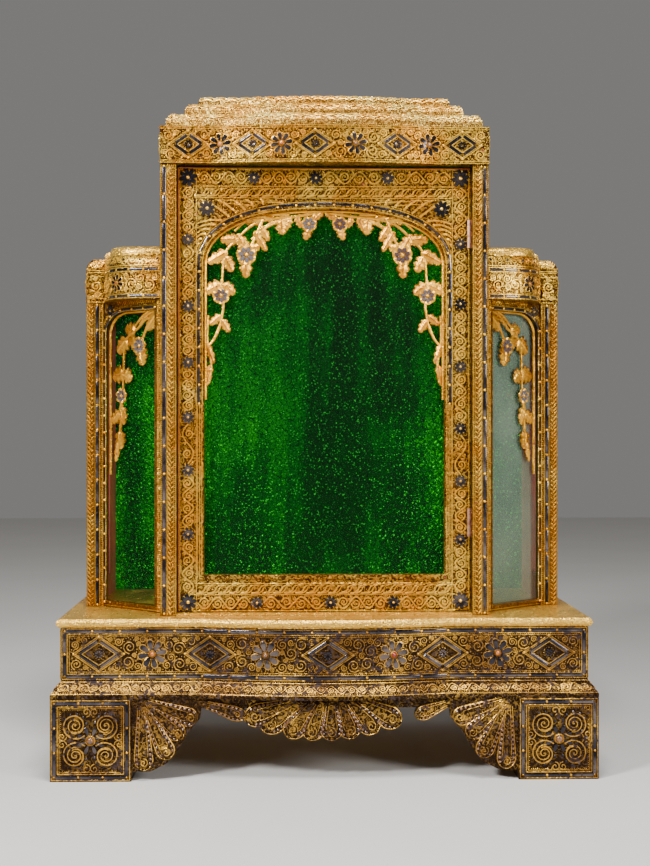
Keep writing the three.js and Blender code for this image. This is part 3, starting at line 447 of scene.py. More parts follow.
FOOT_DEPTH = 96.0
FOOT_EDGE = 1.2
FOOT_STRIPS = 6.0
FOOT_BEADS = 15.0
FOOT_SPREAD = 21.0 * np.array([1.0, 0.98])
FOOT_SCROLL, FOOT_CURL, FOOT_DOTS = 19.0, 12.0, 15.6
PAIR_FROM_CENTRE, PAIR_SPREAD, PAIR_RADIUS = 39.0, 5.5, 6.5
for word, side in SIDES:
    low, high = corners(f"foot_front_{word}")
    front = high[1] - FOOT_DEPTH
    face = flat_front(front)
    a, b = low[[0, 2]], high[[0, 2]]
    centre = (a + b) / 2
    rings = [(0, high[1]), (0, front + FOOT_EDGE), (FOOT_EDGE, front)]
    block = [upright(rectangle(a[0] + inset, b[0] - inset, a[1], b[1]), y) for inset, y in rings]
    nails, work = Carving(face), Carving(face, loft(block))
    for start, end in sides_of(drawn_in(a, b, FOOT_STRIPS)):
        nails.strips((start, end), 34, gap=1.6)
    for inset, half, rise in ((2.2, 0.8, 1.4), (10.5, 1.0, 1.6), (13.0, 0.6, 1.0)):
        work.thread(sides_of(drawn_in(a, b, inset)), half, rise)
    for sx, sz in ((-1, -1), (-1, 1), (1, -1), (1, 1)):
        spot = centre + FOOT_SPREAD * (sx, sz)
        turn = math.atan2(-sz, -sx)
        scroll = set_out(spiral(1.2, 26, 0.45), spot, FOOT_SCROLL, turn, sx * sz)
        work.thread(scroll, 1.3, 2.4)
        work.thread(scroll, 0.5, 3.0)
        work.thread(set_out(spiral(1.9, 30, 0.1), spot, FOOT_CURL, turn + 0.5, sx * sz), 1.0, 2.2)
        dots = spot + FOOT_DOTS * on_circle(np.linspace(0.4, 5.2, 9) + turn)
        work.glass(DISC, dots, (2.1, 2.1, 1.5))
        work.putty(GRAIN, spot, (1.6, 1.6, 2.4))
    places, turns = petals_round(centre, 7.0, 8, 0.39)
    work.glass(PETAL, places, (3.4, 12.5, 2.2), turns)
    for way in around(4):
        spot = centre + PAIR_FROM_CENTRE * on_circle(way)
        aside = PAIR_SPREAD * on_circle(way + np.pi / 2)
        hearts = [spot + aside, spot - aside]
        work.thread(set_out(spiral(1.3), hearts, PAIR_RADIUS, way + np.pi, np.array([1, -1])), 0.9, 1.8)
        work.glass(DISC, spot, (2.4, 2.4, 1.5))
    for start, end in sides_of(drawn_in(a, b, FOOT_BEADS)):
        work.row(start, end, 2.8, 0.8, 1.1)
    work.putty(COLLAR, centre, (7.6, 7.6, 4.6))
    add_piece(f"foot_{word}_gilt", work.gilt, worn_gilding, stands_for=[f"foot_front_{word}"])
    add_piece(f"foot_{word}_nails", nails.gilt, worn_gilding)
    add_piece(f"foot_{word}_mirrors", nails.mirrors + work.mirrors, dark_mirror)
    stone = copies(face, BEAD, centre, (6.2, 6.2, 7.2))
    add_piece(f"foot_{word}_stone", [stone], brown_glass)


# Fan brackets beside the front feet and the shell apron between them. Each is a board whose
# gilded petals overlap, with a rolled rim, rows of round glass dots and a small scroll.
PETAL_CROWN = 4.0
BOARD = 12.0


def fan_petal(work, front, top, start, end, half_start, half_end, tip):
    """One petal: a crowned board that widens evenly and closes in a quarter ellipse over its
    tip, with rolled rims, dots of glass and a curl. Nothing rises above the board's top."""
    length = math.dist(start, end)
    turn = math.atan2(end[1] - start[1], end[0] - start[0])

    def half_at(share):
        wide = half_start + (half_end - half_start) * np.minimum(share / (1 - tip), 1)
        close = np.clip((share - 1 + tip) / tip, 0, 1)
        return wide * np.sqrt(np.maximum(1 - close**2, 0)) + 0.05

    def face(across, up, out):
        crown = PETAL_CROWN * np.clip(1 - (across / (half_at(up / length) + 1e-6)) ** 2, 0, 1)
        x = start[0] + up * math.cos(turn) - across * math.sin(turn)
        z = start[1] + up * math.sin(turn) + across * math.cos(turn)
        return np.stack([x, front - crown * np.clip(0.4 + up / length, 0, 1) - out, np.minimum(z, top)], -1)

    share = np.r_[np.linspace(0, 1 - tip, 8), 1 - tip + tip * np.sin(np.linspace(0.2, 1.57, 7))]
    across = np.linspace(-1, 1, 7) * half_at(share)[:, None]
    upper = face(across, np.repeat(share[:, None] * length, 7, 1), np.zeros_like(across))
    ends = upper[:, [-1, 0]]
    ends[..., 1] = front + BOARD
    points, faces, _ = loft(np.concatenate([upper, ends], 1))
    # Relief across each row of the petal, highest on its crown: painted highlight on the crown and painted
    # shade towards the edges and on the back.
    crown_highlight = np.tile([0.0, 0.2, 0.35, 0.45, 0.35, 0.2, 0.0, 0.0, 0.0], len(share))
    work.gilt.append((points, faces, crown_highlight))
    laid = work.on(face)
    share = np.r_[np.linspace(0.1, 1 - tip, 12), 1 - tip + tip * np.sin(np.linspace(0.15, 1.45, 8))]
    rim = np.stack([half_at(share) - 1.2, share * length], 1)
    laid.thread(np.concatenate([rim, rim[::-1] * (-1, 1)]), 1.0, 1.5)
    inner = np.stack([half_at(share[:14]) * 0.45, share[:14] * length * 0.9], 1)
    laid.thread([inner, inner * (-1, 1)], 0.6, 1.0)
    laid.thread(set_out(spiral(1.4), (0, length * (1 - tip * 0.7)), half_end * 0.45, -1.57), 0.8, 1.4)
    share = np.linspace(0.25, 1 - tip * 0.6, max(3, int(length / 8.5)))
    dots = np.stack([half_at(share) * 0.72, share * length], 1)
    laid.glass(DISC, np.concatenate([dots, dots * (-1, 1)]), (1.9, 1.9, 1.2))


def outline_board(outline, front, back):
    """A flat board cut to an outline of (across, up) points."""
    return loft([upright(outline, front), upright(outline, back)])


BRACKET_TIPS = [(17, 15), (52, 31), (70, 60), (90, 84)]
BRACKET_ROOT = (14, 3)
BRACKET_WEB = [(0, 13), (26, 13), (48, 24), (66, 46), (77, 66), (94, 86), (98, 114), (0, 114)]
low, high = corners("apron_front")
front = high[1] - BOARD
for word, side in SIDES:
    ends = corners(f"bracket_front_{word}")
    inner = max(abs(ends[0][0]), abs(ends[1][0]))
    top = ends[1][2]
    root = (side * (inner - BRACKET_ROOT[0]), top - BRACKET_ROOT[1])
    work = Carving()
    for into, z in BRACKET_TIPS:
        fan_petal(work, front, top, root, (side * (inner - into), z), 6, 14, 0.16)
    web = [(side * (inner - into), min(z, top)) for into, z in BRACKET_WEB]
    work.gilt.append(outline_board(web, front + 1, front + BOARD))
    stands_for = [f"bracket_front_{word}"]
    add_piece(f"bracket_{word}_gilt", work.gilt, worn_gilding, stands_for=stands_for)
    add_piece(f"bracket_{word}_glass", work.mirrors, brown_glass)

SHELL_TIPS = [
    (-0.64, 30), (-0.5, 44), (-0.3, 54), (-0.13, 58), (0.046, 59), (0.22, 56), (0.405, 48), (0.594, 36)
]
SHELL_MIDDLE = 0.05
SHELL_GATHER = 0.42
END_LEAVES = [(-0.97, -0.62), (0.98, 0.71)]
half, top = high[0], high[2]
work = Carving()
for share, drop in SHELL_TIPS:
    start = (half * (SHELL_MIDDLE + (share - SHELL_MIDDLE) * SHELL_GATHER), top - 6)
    fan_petal(work, front, top, start, (half * share, top - drop), 7, 17, 0.3)
for outer, inner in END_LEAVES:
    fan_petal(work, front, top, (half * outer, top - 7), (half * inner, top - 26), 5, 11, 0.3)
work.gilt.append(outline_board(rectangle(-half, half, top - 14, top), front + 2, front + BOARD))
add_piece("apron_gilt", work.gilt, worn_gilding, stands_for=["apron_front"])
add_piece("apron_glass", work.mirrors, brown_glass)


# Base moulding: a sloping ogee of wood with a running vine of putty, mitred at the corners and
# bowed at the front. The dado above it has mirror lozenges and flowers in a bed of scrolls.
BASE_BOW = (22.0, 170.0)
NO_BOW = (0.001, 0.001)
BASE_WALL = 35.7


def swell(across, bow):
    """How far a bowed front stands forward: a circular arc over the middle, 0 beyond it."""
    depth, half = bow
    radius = (half**2 + depth**2) / (2 * depth)
    arc = np.sqrt(np.maximum(radius**2 - across**2, 0)) - (radius - depth)
    return np.where(np.abs(across) < half, np.maximum(arc, 0), 0.0)


def bowed_plan(half, front, back, bow, steps=40):
    """Plan outline of a body with a bowed front, drawn in by an inset."""

    def plan(inset):
        across = np.r_[-half + inset, np.linspace(-bow[1], bow[1], steps), half - inset]
        line = np.stack([across, front + inset - swell(across, bow)], 1)
        return np.concatenate([line, [(half - inset, back - inset), (-half + inset, back - inset)]])

    return plan


def belt(plan, profile, hole=None):
    """A body whose plan is drawn in at each (inset, height) step of its profile. A hole, as
    its lowest and highest corner, leaves a ring: each point has its partner on the hole."""
    rings = [np.insert(plan(inset), 2, z, 1) for inset, z in profile]
    if hole is not None:
        for ring in (rings[-1], rings[0]):
            inner = ring.copy()
            inner[:, :2] = np.clip(ring[:, :2], hole[0], hole[1])
            rings.append(inner)
    return loft(rings, wrapped=hole is not None)


def bowed_front(front, bow):
    """A front face that swells forward: across is x, up is z, out is square to the arc."""

    def face(across, up, out):
        slope = swell(across + 0.5, bow) - swell(across - 0.5, bow)
        return np.stack([across - slope * out, front - swell(across, bow) - out, up], -1)

    return face


def rolled(profile):
    """A profile of (inset, height) steps by the length run along it: its length, and the inset
    and height of a point that stands out square to it."""
    steps = np.array(profile, float)
    run = np.r_[0, np.cumsum(np.hypot(*np.diff(steps, axis=0).T))]

    def at(up, out):
        lean = np.arctan2(np.interp(up + 1, run, steps[:, 0]) - np.interp(up - 1, run, steps[:, 0]), 2)
        inset = np.interp(up, run, steps[:, 0]) - out * np.cos(lean)
        return inset, np.interp(up, run, steps[:, 1]) + out * np.sin(lean)

    return run[-1], at


def sloped(profile, half, front, bow):
    """A moulding's front: up runs along its profile, and out is square to the slope."""
    length, at = rolled(profile)

    def face(across, up, out):
        inset, z = at(up, out)
        x = across * (half - inset) / half
        return np.stack([x, front + inset - swell(x, bow), z], -1)

    return face, length


def beside(face, side, half, middle=0.0):
    """A front face carried round to the left or right side: across then runs along y."""

    def turned(across, up, out):
        point = face(across, up, out)
        return np.stack([side * (half - point[..., 1]), middle + point[..., 0], point[..., 2]], -1)

    return turned


def vine(work, start, end, half, waves, hand=1, scale=1.0):
    """A running scroll of putty: a stem that swings as a sine, a volute in each swing that
    leaves the stem where it crosses the middle, a leaf curl behind each crossing, and a grain
    in every heart."""
    start, end = np.array(start, float), np.array(end, float)
    length = np.linalg.norm(end - start)
    ahead = (end - start) / length
    aside = np.array([-ahead[1], ahead[0]])
    heading = math.atan2(ahead[1], ahead[0])
    run = np.linspace(0, length, waves * 14 + 1)[:, None]
    stem = start + run * ahead + aside * hand * half * 0.8 * np.sin(2 * np.pi * waves * run / length)
    bays = np.arange(2 * waves)[:, None]
    pitch = length / (2 * waves)
    swing = hand * (-1.0) ** bays
    heart = start + (bays + 0.5) * pitch * ahead - aside * swing * half * 0.1
    corner = start + bays * pitch * ahead + aside * swing * half * 0.55
    radius = min(half * 0.66, pitch * 0.47)
    volutes = set_out(spiral(), heart, radius, heading + np.pi, swing[:, 0])
    leaves = set_out(spiral(0.8, 9, 0.4), corner, radius * 0.42, heading + np.pi / 2, -swing[:, 0])
    work.thread(stem, 1.0 * scale, 1.7 * scale)
    work.thread(volutes, 1.05 * scale, 1.9 * scale, 0.35)
    work.thread(leaves, 0.9 * scale, 1.5 * scale, 0.4)
    work.putty(GRAIN, np.concatenate([heart, corner]), np.array([1.1, 1.1, 2.0]) * scale)


low, high = corners("base_moulding")
HALF, FRONT, BACK = high[0], low[1] + BASE_BOW[0], high[1]
z0, z1 = low[2], high[2]
OGEE = [(0, z0), (0, z0 + 4), (1.5, z0 + 7), (5, z0 + 11), (9.5, z0 + 16), (11.5, z0 + 20), (13.7, z1)]
VINE_UP = 15.5
BASE_HOLE = ((-HALF + BASE_WALL, FRONT + BASE_WALL), (HALF - BASE_WALL, BACK - BASE_WALL))
face, _ = sloped(OGEE, HALF, FRONT, BASE_BOW)
work = Carving(face, belt(bowed_plan(HALF, FRONT, BACK, BASE_BOW), OGEE, BASE_HOLE))
vine(work, (-HALF + 4, VINE_UP), (HALF - 4, VINE_UP), 7.2, 26, scale=0.85)
for up, rise in ((6.2, 0.9), (25.2, 1.2)):
    work.line((-HALF + 1, up), (HALF - 1, up), 0.8, rise, 4.77)
    work.row((-HALF + 1, up + 2), (HALF - 1, up + 2), 3.2, 0.8, 1.1)
depth = (BACK - FRONT) / 2
face, _ = sloped(OGEE, depth, 0, NO_BOW)
for _, side in SIDES:
    turned = work.on(beside(face, side, HALF, (BACK + FRONT) / 2))
    vine(turned, (-depth + 5, VINE_UP), (depth - 5, VINE_UP), 7.2, 14, scale=0.85)
add_piece("base_moulding_gilt", work.gilt, worn_gilding, stands_for=["base_moulding"])


def clearance(spots, rounds, lozenges):
    """How far each spot is from the nearest round (across, up, radius) or lozenge (across,
    up, half width, half height)."""
    gap = np.full(len(spots), 1e3)
    for x, z, r in rounds:
        gap = np.minimum(gap, np.hypot(spots[:, 0] - x, spots[:, 1] - z) - r)
    for x, z, w, h in lozenges:
        out = np.abs(spots[:, 0] - x) / w + np.abs(spots[:, 1] - z) / h - 1
        gap = np.minimum(gap, out * w * h / math.hypot(w, h))
    return gap


SPOTS_TRIED = 6
CLOSEST = 0.94


def packed_rounds(low, high, rounds, lozenges, radii, seed):
    """Circles packed into a panel from the largest radius down: random spots are kept where
    they clear the ornament and the panel's edge, and nearly clear every circle kept before.
    The spots tried are six times the panel's area over the radius squared."""
    rng = np.random.default_rng(seed)
    low, high = np.array(low, float), np.array(high, float)
    kept = np.zeros((0, 3))
    for radius in radii:
        count = int(SPOTS_TRIED * np.prod(high - low) / radius**2)
        spots = rng.uniform(low + radius, high - radius, (count, 2))
        for spot in spots[clearance(spots, rounds, lozenges) > radius]:
            gap = np.hypot(*(kept[:, :2] - spot).T) - kept[:, 2]
            if not len(kept) or gap.min() > radius * CLOSEST:
                kept = np.vstack([kept, [*spot, radius]])
    return kept


def scroll_bed(work, low, high, rounds, lozenges, radii, seed, scale=1.0):
    """A bed of putty volutes of several sizes, with a grain in each small gap."""
    kept = packed_rounds(low, high, rounds, lozenges, radii, seed)
    rng = np.random.default_rng(seed + 1)
    hand = rng.choice([-1.0, 1.0], len(kept))
    turn = rng.uniform(0, 2 * np.pi, len(kept))
    large = kept[:, 2] > radii[-1]
    hearts = kept[large, :2]
    volutes = set_out(spiral(1.75, 17), hearts, kept[large, 2] * 1.04, turn[large], hand[large])
    work.thread(volutes, 1.0 * scale, 1.9 * scale, 0.35)
    work.putty(GRAIN, hearts, (1.0, 1.0, 1.8 * scale))
    work.putty(GRAIN, kept[~large, :2], (radii[-1] * 0.8, radii[-1] * 0.8, 1.5 * scale))


def lozenge(work, place, wide, tall):
    """A mirror lozenge: two putty lines outside, four mirror bars, a line inside and a small
    flower of mirror petals."""

    def rhombus(across, up):
        wide_in, tall_in = wide - across, tall - up
        return np.array([(wide_in, 0), (0, tall_in), (-wide_in, 0), (0, -tall_in)]) + place

    for across, up, half, rise in ((1.0, 0.7, 0.9, 2.2), (4.2, 3.0, 0.6, 1.5), (14.0, 10.0, 0.8, 2.0)):
        work.thread(sides_of(rhombus(across, up)), half, rise)
    work.putty(BEAD, rhombus(2.2, 1.6), (2.2, 2.2, 3.0))
    joints = rhombus(9.0, 6.4)
    work.mirrors.append(bars(work.face, np.vstack([joints, joints[:1]]), 4.6, 2.6, 1.6))
    places, turns = petals_round(place, 1.6, 8, 0.4)
    work.glass(PETAL, places, (1.5, 4.6, 1.8), turns)
    work.putty(GRAIN, petals_round(place, 7.4, 12, 0.0)[0], (0.8, 0.8, 1.2))


def bloom(work, place, radius, count=8, turn=0.2):
    """A large flower of mirror petals in gold edges, round a collar for its stone."""
    places, turns = petals_round(place, radius * 0.3, count, turn)
    work.glass(PETAL, places, (radius * 0.25, radius * 0.7, 2.2), turns)
    work.putty(PETAL, places, (radius * 0.31, radius * 0.76, 1.3), turns)
    tips, _ = petals_round(place, radius * 0.86, count, turn + np.pi / count)
    work.putty(GRAIN, tips, (1.1, 1.1, 1.8))
    work.putty(COLLAR, place, (radius * 0.28, radius * 0.28, 3.8))


def ornament(work, middle, lozenges, wide, tall, blooms, radius, stone):
    """A row of lozenges and blooms. Returns its stones by kind, and the rounds and lozenges
    that its bed of scrolls has to clear."""
    stones = [[], [], []]
    for x in lozenges:
        lozenge(work, (x, middle), wide, tall)
    for x, kind in blooms:
        bloom(work, (x, middle), radius)
        stones[kind].append(copies(work.face, BEAD, (x, middle), stone))
    rounds = [(x, middle, radius - 0.5) for x, _ in blooms]
    return stones, rounds, [(x, middle, wide + 1, tall + 1) for x in lozenges]


def framed_panel(work, low, high):
    """Mirror strips round a panel, putty lines on both sides of them and rows of grains."""
    for start, end in sides_of(drawn_in(low, high, 5.2)):
        work.strips((start, end), 38.5)
    for inset, half, rise in ((1.6, 0.7, 1.3), (8.8, 0.8, 1.5), (11.6, 0.5, 1.0)):
        for start, end in sides_of(drawn_in(low, high, inset)):
            work.line(start, end, half, rise, 12)
    for start, end in sides_of(drawn_in(low, high, 10.2))[::2]:
        work.row(start, end, 2.8, 0.7, 1.0)


DADO_LOZENGES = [-314.0, -160.0, 3.0, 163.0, 312.0]
DADO_BLOOMS = [(-240.0, 1), (-83.0, 0), (94.0, 2), (240.0, 1)]
SCROLL_RADII = (9.0, 7.5, 6.0, 4.6, 3.4, 1.7)
low, high = corners("base_dado")
half, front, back = high[0], low[1] + BASE_BOW[0], BACK - OGEE[-1][0]
z0, z1 = low[2], high[2]
middle = (z0 + z1) / 2
plan = bowed_plan(half, front, back, BASE_BOW)
work = Carving(bowed_front(front, BASE_BOW), belt(plan, [(0, z0), (0, z1)], BASE_HOLE))
framed_panel(work, (-half, z0), (half, z1))
stones, *taken = ornament(work, middle, DADO_LOZENGES, 37.0, 25.5, DADO_BLOOMS, 19.5, (4.3, 4.3, 6.2))
scroll_bed(work, (-half + 12.5, z0 + 12), (half - 12.5, z1 - 12), *taken, SCROLL_RADII, 3)
for _, side in SIDES:
    turned = work.on(beside(flat_front(0), side, half))
    framed_panel(turned, (front, z0), (back, z1))
    vine(turned, (front + 14, middle), (back - 14, middle), 18.0, 5, scale=1.3)
add_pair(work, "base_dado", worn_gilding, stands_for=["base_dado"])
red_glass = cabochon_finish("red_glass", colour(0.28, 0.02, 0.015), colour(0.1, 0.005, 0.005))
add_piece("base_dado_brown_stone", stones[0], brown_glass)
add_piece("base_dado_amber_stones", stones[1], amber_glass)
add_piece("base_dado_red_stone", stones[2], red_glass)


# Base board: a plain gilded board with a round nose that carries the cabinet. Its leaf is
# brighter than the base's, and rubbed to lacquer in small scattered spots.
# The near-black ground of the bright gilding and the dark ground of the pale one are painted shade: these
# parts are gilded all over, ground included.
bright_gilding = gilding(
    "bright_gilding",
    leaf=colour(1.0, 0.63, 0.08),
    shade=colour(0.85, 0.4, 0.03),
    ground=colour(0.055, 0.015, 0.001),
    lacquer=colour(0.25, 0.04, 0.01),
    wear=0.93,
)
pale_gilding = gilding(
    "pale_gilding",
    leaf=colour(1.0, 0.72, 0.17),
    shade=colour(0.92, 0.5, 0.07),
    ground=colour(0.2, 0.08, 0.008),
    lacquer=colour(0.25, 0.06, 0.01),
    wear=0.97,
)
board_gilding = gilding(
    "board_gilding",
    leaf=colour(0.98, 0.62, 0.11),
    shade=colour(0.72, 0.38, 0.04),
    ground=colour(0.85, 0.5, 0.07),
    lacquer=colour(0.3, 0.13, 0.04),
    wear=0.93,
)
NOSE = 3.5
low, high = corners("base_board")
share = np.linspace(0, 1, 9)
inset = HALF - high[0] + NOSE * (1 - np.cos((share - 0.5) * np.pi))
nose = np.stack([inset, low[2] + (high[2] - low[2]) * share], 1)
board = belt(bowed_plan(HALF, FRONT, BACK, BASE_BOW), nose)
add_piece("base_board_gilt", [board], board_gilding, stands_for=["base_board"])


# Front posts. Two square posts with a raised line of mirror strips at the outer edge, a band
# of slanted leaves beside the door, and rows of putty grains between. The sill is plain.
LEAFLET = long_form(
    [(0, 0.3, 0.4), (0.3, 0.9, 0.9), (0.6, 1, 1), (0.85, 0.55, 0.7), (1, 0.1, 0.2)],
    [(-1, 0), (-0.4, 0.55), (0, 1), (0.4, 0.55), (1, 0)],
)
STRIP_RISE, ROPE_RISE = 1.2, 2.0


def dress_post(node, side, outer, pitch, strip, band, lines, rows):
    """Putty and mirror strips on a post's front, at distances in from its outer edge: the
    strip, the leaves as (distance, pitch, half width, length, lean), and the thin lines and
    the rows of grains, each as its distances followed by its half width and rise."""
    low, high = corners(node)
    front, z0, z1 = low[1] + ROPE_RISE, low[2] + 1, high[2] - 1
    work = Carving(flat_front(front))
    x = side * (outer - strip)
    work.on(flat_front(front - STRIP_RISE)).strips(((x, z0 + 2), (x, z1 - 2)), pitch)
    distance, step, half, length, lean = band
    x = side * (outer - distance)
    rope = work.on(flat_front(front - ROPE_RISE))
    rope.putty(LEAFLET, along(((x, z0), (x, z1)), step)[:-1], (half, length, 1.7), side * lean)
    small = (half - 0.6, length - 4.0, 1.3)
    rope.putty(LEAFLET, along(((x, z0 + 3), (x, z1)), step)[:-1], small, side * 0.9)
    for distance in lines[0]:
        x = side * (outer - distance)
        work.line((x, z0), (x, z1), *lines[1:])
    for distance in rows[0]:
        x = side * (outer - distance)
        work.row((x, z0), (x, z1), 2.8, *rows[1:])
    add_pair(work, node, bright_gilding, "putty")


def paint(nodes, finish):
    """Gives parts of the frame that need no finer relief their finish."""
    for node in nodes:
        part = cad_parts[node]
        part.data.materials.clear()
        part.data.materials.append(finish)


for word, side in SIDES:
    low, high = corners(f"front_post_{word}")
    outer = max(abs(low[0]), abs(high[0]))
    lines = ((1.3, 9.6, 10.7, 19.4, 22.0), 0.55, 1.3)
    rows = ((2.2, 20.6), 0.75, 1.2)
    dress_post(f"front_post_{word}", side, outer, 39, 5.75, (15.0, 7.0, 1.7, 9.5, -0.55), lines, rows)
paint(["front_post_left", "front_post_right"], pale_gilding)
paint(["sill", "upper_side_left", "upper_side_right"], board_gilding)


# Door. One carved frame round an arched opening: scroll bands with mirror rosettes, a band of
# S leaves, rays in the spandrels and a line of mirror strips that follows the arch. It hangs
# on two brass butt hinges at the right-hand post, and its own edge is bare red lacquer.
OPENING_HALF = 171.0
BOTTOM_RAIL, TOP_RAIL = 52.0, 59.3
ARCH_RISE = 79.5
ARCH_POWER = 0.86
REBATE = 8.0
PANE_SEAT = 3.3
low, high = corners("door_frame")
front, back = high[1] - 18.0, high[1]
x0, x1, z0, z1 = low[0] + 0.1, high[0] - 0.1, low[2], high[2]
bottom, crown = z0 + BOTTOM_RAIL, z1 - TOP_RAIL
spring = crown - ARCH_RISE
centre = np.array([0.0, (bottom + crown) / 2])


def opening(grow):
    """The door's opening, grown all round: straight sides under a basket handle, which is a
    superellipse of cosines and sines raised to a power."""
    angle = np.linspace(0, np.pi, 49)
    c, s = np.cos(angle), np.sin(angle)
    half = OPENING_HALF + grow
    x = half * np.sign(c) * np.abs(c) ** ARCH_POWER
    arch = np.stack([x, spring + (ARCH_RISE + grow) * s**ARCH_POWER], 1)
    return np.concatenate([[(-half, bottom - grow), (half, bottom - grow)], arch])


def arch_line(grow, foot):
    """The opening's arch alone, with both ends run straight down to a height."""
    line = opening(grow)[2:]
    return np.concatenate([[(line[0, 0], foot)], line, [(line[-1, 0], foot)]])


def round_points(outline, centre, angles):
    """Where rays from the centre at these angles meet a closed outline that they cross once."""
    parts = [np.linspace(start, end, 24, endpoint=False) for start, end in sides_of(outline)]
    dense = np.concatenate(parts) - centre
    way = np.arctan2(dense[:, 1], dense[:, 0])
    order = np.argsort(way)
    reach = np.interp(angles, way[order], np.hypot(*dense[order].T), period=2 * np.pi)
    return centre + reach[:, None] * on_circle(angles)


pane = drawn_in((-OPENING_HALF, bottom), (OPENING_HALF, crown), -REBATE)
outside = rectangle(x0, x1, z0, z1)
steps = [
    (opening(0), back - PANE_SEAT),
    (opening(0), front - 0.6),
    (opening(0.8), front - 1.6),
    (opening(6.0), front - 1.6),
    (opening(7.0), front),
    (drawn_in((x0, z0), (x1, z1), 1), front),
    (outside, front + 1),
    (outside, back),
    (pane, back),
    (pane, back - PANE_SEAT),
]
squares = [outline for outline, _ in steps if len(outline) == 4]
marks = np.concatenate(squares + [opening(0), opening(7.0)[:2]]) - centre
angles = np.unique(np.arctan2(marks[:, 1], marks[:, 0]).round(5))
body = [upright(round_points(outline, centre, angles), y) for outline, y in steps]
face = flat_front(front)
work = Carving(face, loft(body, wrapped=True))

STILE_LINE = 193.5
STILE_HALF = 10.5
STRAIGHT_TOP = 520.0
LEFT_ROSETTES = [240.5, 337.0, 427.7, 502.6, 580.4, 660.3, 754.6, 842.5]
RIGHT_ROSETTES = [241.9, 329.1, 411.9, 486.8, 574.6, 663.9, 748.9, 842.5]
TOP_ROSETTES = [-100.0, -12.3, 89.9]
BOTTOM_ROSETTES = [-96.0, 8.6, 98.2]
TOP_LINE, BOTTOM_LINE = 842.5, 239.5
RAIL_HALF = 186.0
LONG_BAY = 56.0
VINE_SCALE = 1.4
SPANDREL_ROSETTE = np.array([166.5, 799.0])
SPANDREL_CORNER = 0.72


def rosette(work, place, radius):
    """A small rosette of eight mirror petals round a gold grain, on a thin gold disc."""
    places, turns = petals_round(place, radius * 0.18, 8, 0.2)
    work.glass(PETAL, places, (radius * 0.3, radius * 0.8, 2.4), turns)
    work.putty(DISC, place, (radius * 0.92, radius * 0.92, 0.9))
    work.putty(BEAD, place, (radius * 0.24, radius * 0.24, 3.4))


def s_leaves(middle, tall, pitch):
    """S-shaped leaves side by side along a rail: each is a full sine turned upright."""
    share = np.linspace(0, 1, 11)
    spots = np.arange(8 - RAIL_HALF, RAIL_HALF - 20, pitch)
    across = spots[:, None] + (share * 1.5 - 0.25) * pitch + 0.16 * pitch * np.sin(share * 2 * np.pi)
    up = np.broadcast_to(middle - tall / 2 * np.cos(share * np.pi), across.shape)
    return np.stack([across, up], 2)


for side, heights in ((-1, LEFT_ROSETTES), (1, RIGHT_ROSETTES)):
    x = side * STILE_LINE
    reach = [12.5] + [9.0] * 6 + [13.0]
    for z, radius in zip(heights, reach):
        rosette(work, (x, z), radius)
    for i in range(len(heights) - 1):
        start, end = heights[i] + reach[i] + 0.5, heights[i + 1] - reach[i + 1] - 0.5
        waves = 2 if end - start > LONG_BAY else 1
        vine(work, (x, start), (x, end), STILE_HALF - 0.8, waves, side * (-1) ** i, VINE_SCALE)
    for aside in (-STILE_HALF - 1.2, STILE_HALF + 1.2):
        x = side * (STILE_LINE + aside)
        work.line((x, z0 + 3), (x, z1 - 3), 0.7, 1.3)
    x = side * (STILE_LINE + STILE_HALF + 3.0)
    work.row((x, z0 + 3), (x, z1 - 3), 2.6, 0.7, 1.1)
    for inward, start, rise in ((174.0, bottom, 1.6), (177.0, bottom - 6, 1.6), (180.0, bottom - 6, 0)):
        x = side * inward
        work.on(flat_front(front - rise)).line((x, start), (x, STRAIGHT_TOP), 0.75, 1.0)

for places, z, hand in ((TOP_ROSETTES, TOP_LINE, 1), (BOTTOM_ROSETTES, BOTTOM_LINE, -1)):
    spots = [-STILE_LINE + 3] + places + [STILE_LINE - 3]
    reach = [11.0] + [9.5] * len(places) + [11.0]
    for x in places:
        rosette(work, (x, z), 9.5)
    for i in range(len(spots) - 1):
        start, end = (spots[i] + reach[i], z), (spots[i + 1] - reach[i + 1], z)
        vine(work, start, end, 10.4, 2, hand * (-1) ** i, VINE_SCALE)
for z in (TOP_LINE + 12.2, TOP_LINE - 12.2, BOTTOM_LINE - 11.2, BOTTOM_LINE + 11.8):
    work.line((-RAIL_HALF, z), (RAIL_HALF, z), 0.8, 1.5)
    work.row((4 - RAIL_HALF, z - 1.7), (RAIL_HALF - 4, z - 1.7), 2.8, 0.65, 1.1)
for z, tall, edge in ((TOP_LINE - 20.8, 11.0, -7.8), (BOTTOM_LINE + 19.5, 12.0, 7.9)):
    leaves = s_leaves(z, tall, 15.6)
    work.thread(leaves, 2.0, 2.6, 0.55)
    work.thread(leaves + (5.2, 0), 1.2, 2.0, 0.5)
    work.putty(GRAIN, leaves[:, 5] + (8.4, 1.5), (1.1, 1.1, 1.7))
    work.line((3 - RAIL_HALF, z + edge), (RAIL_HALF - 3, z + edge), 0.8, 1.4)
ribs = along(((6 - RAIL_HALF, bottom - 5.6), (RAIL_HALF - 6, bottom - 5.6)), 3.4)
work.putty(LEAFLET, ribs, (1.3, 4.6, 1.8))

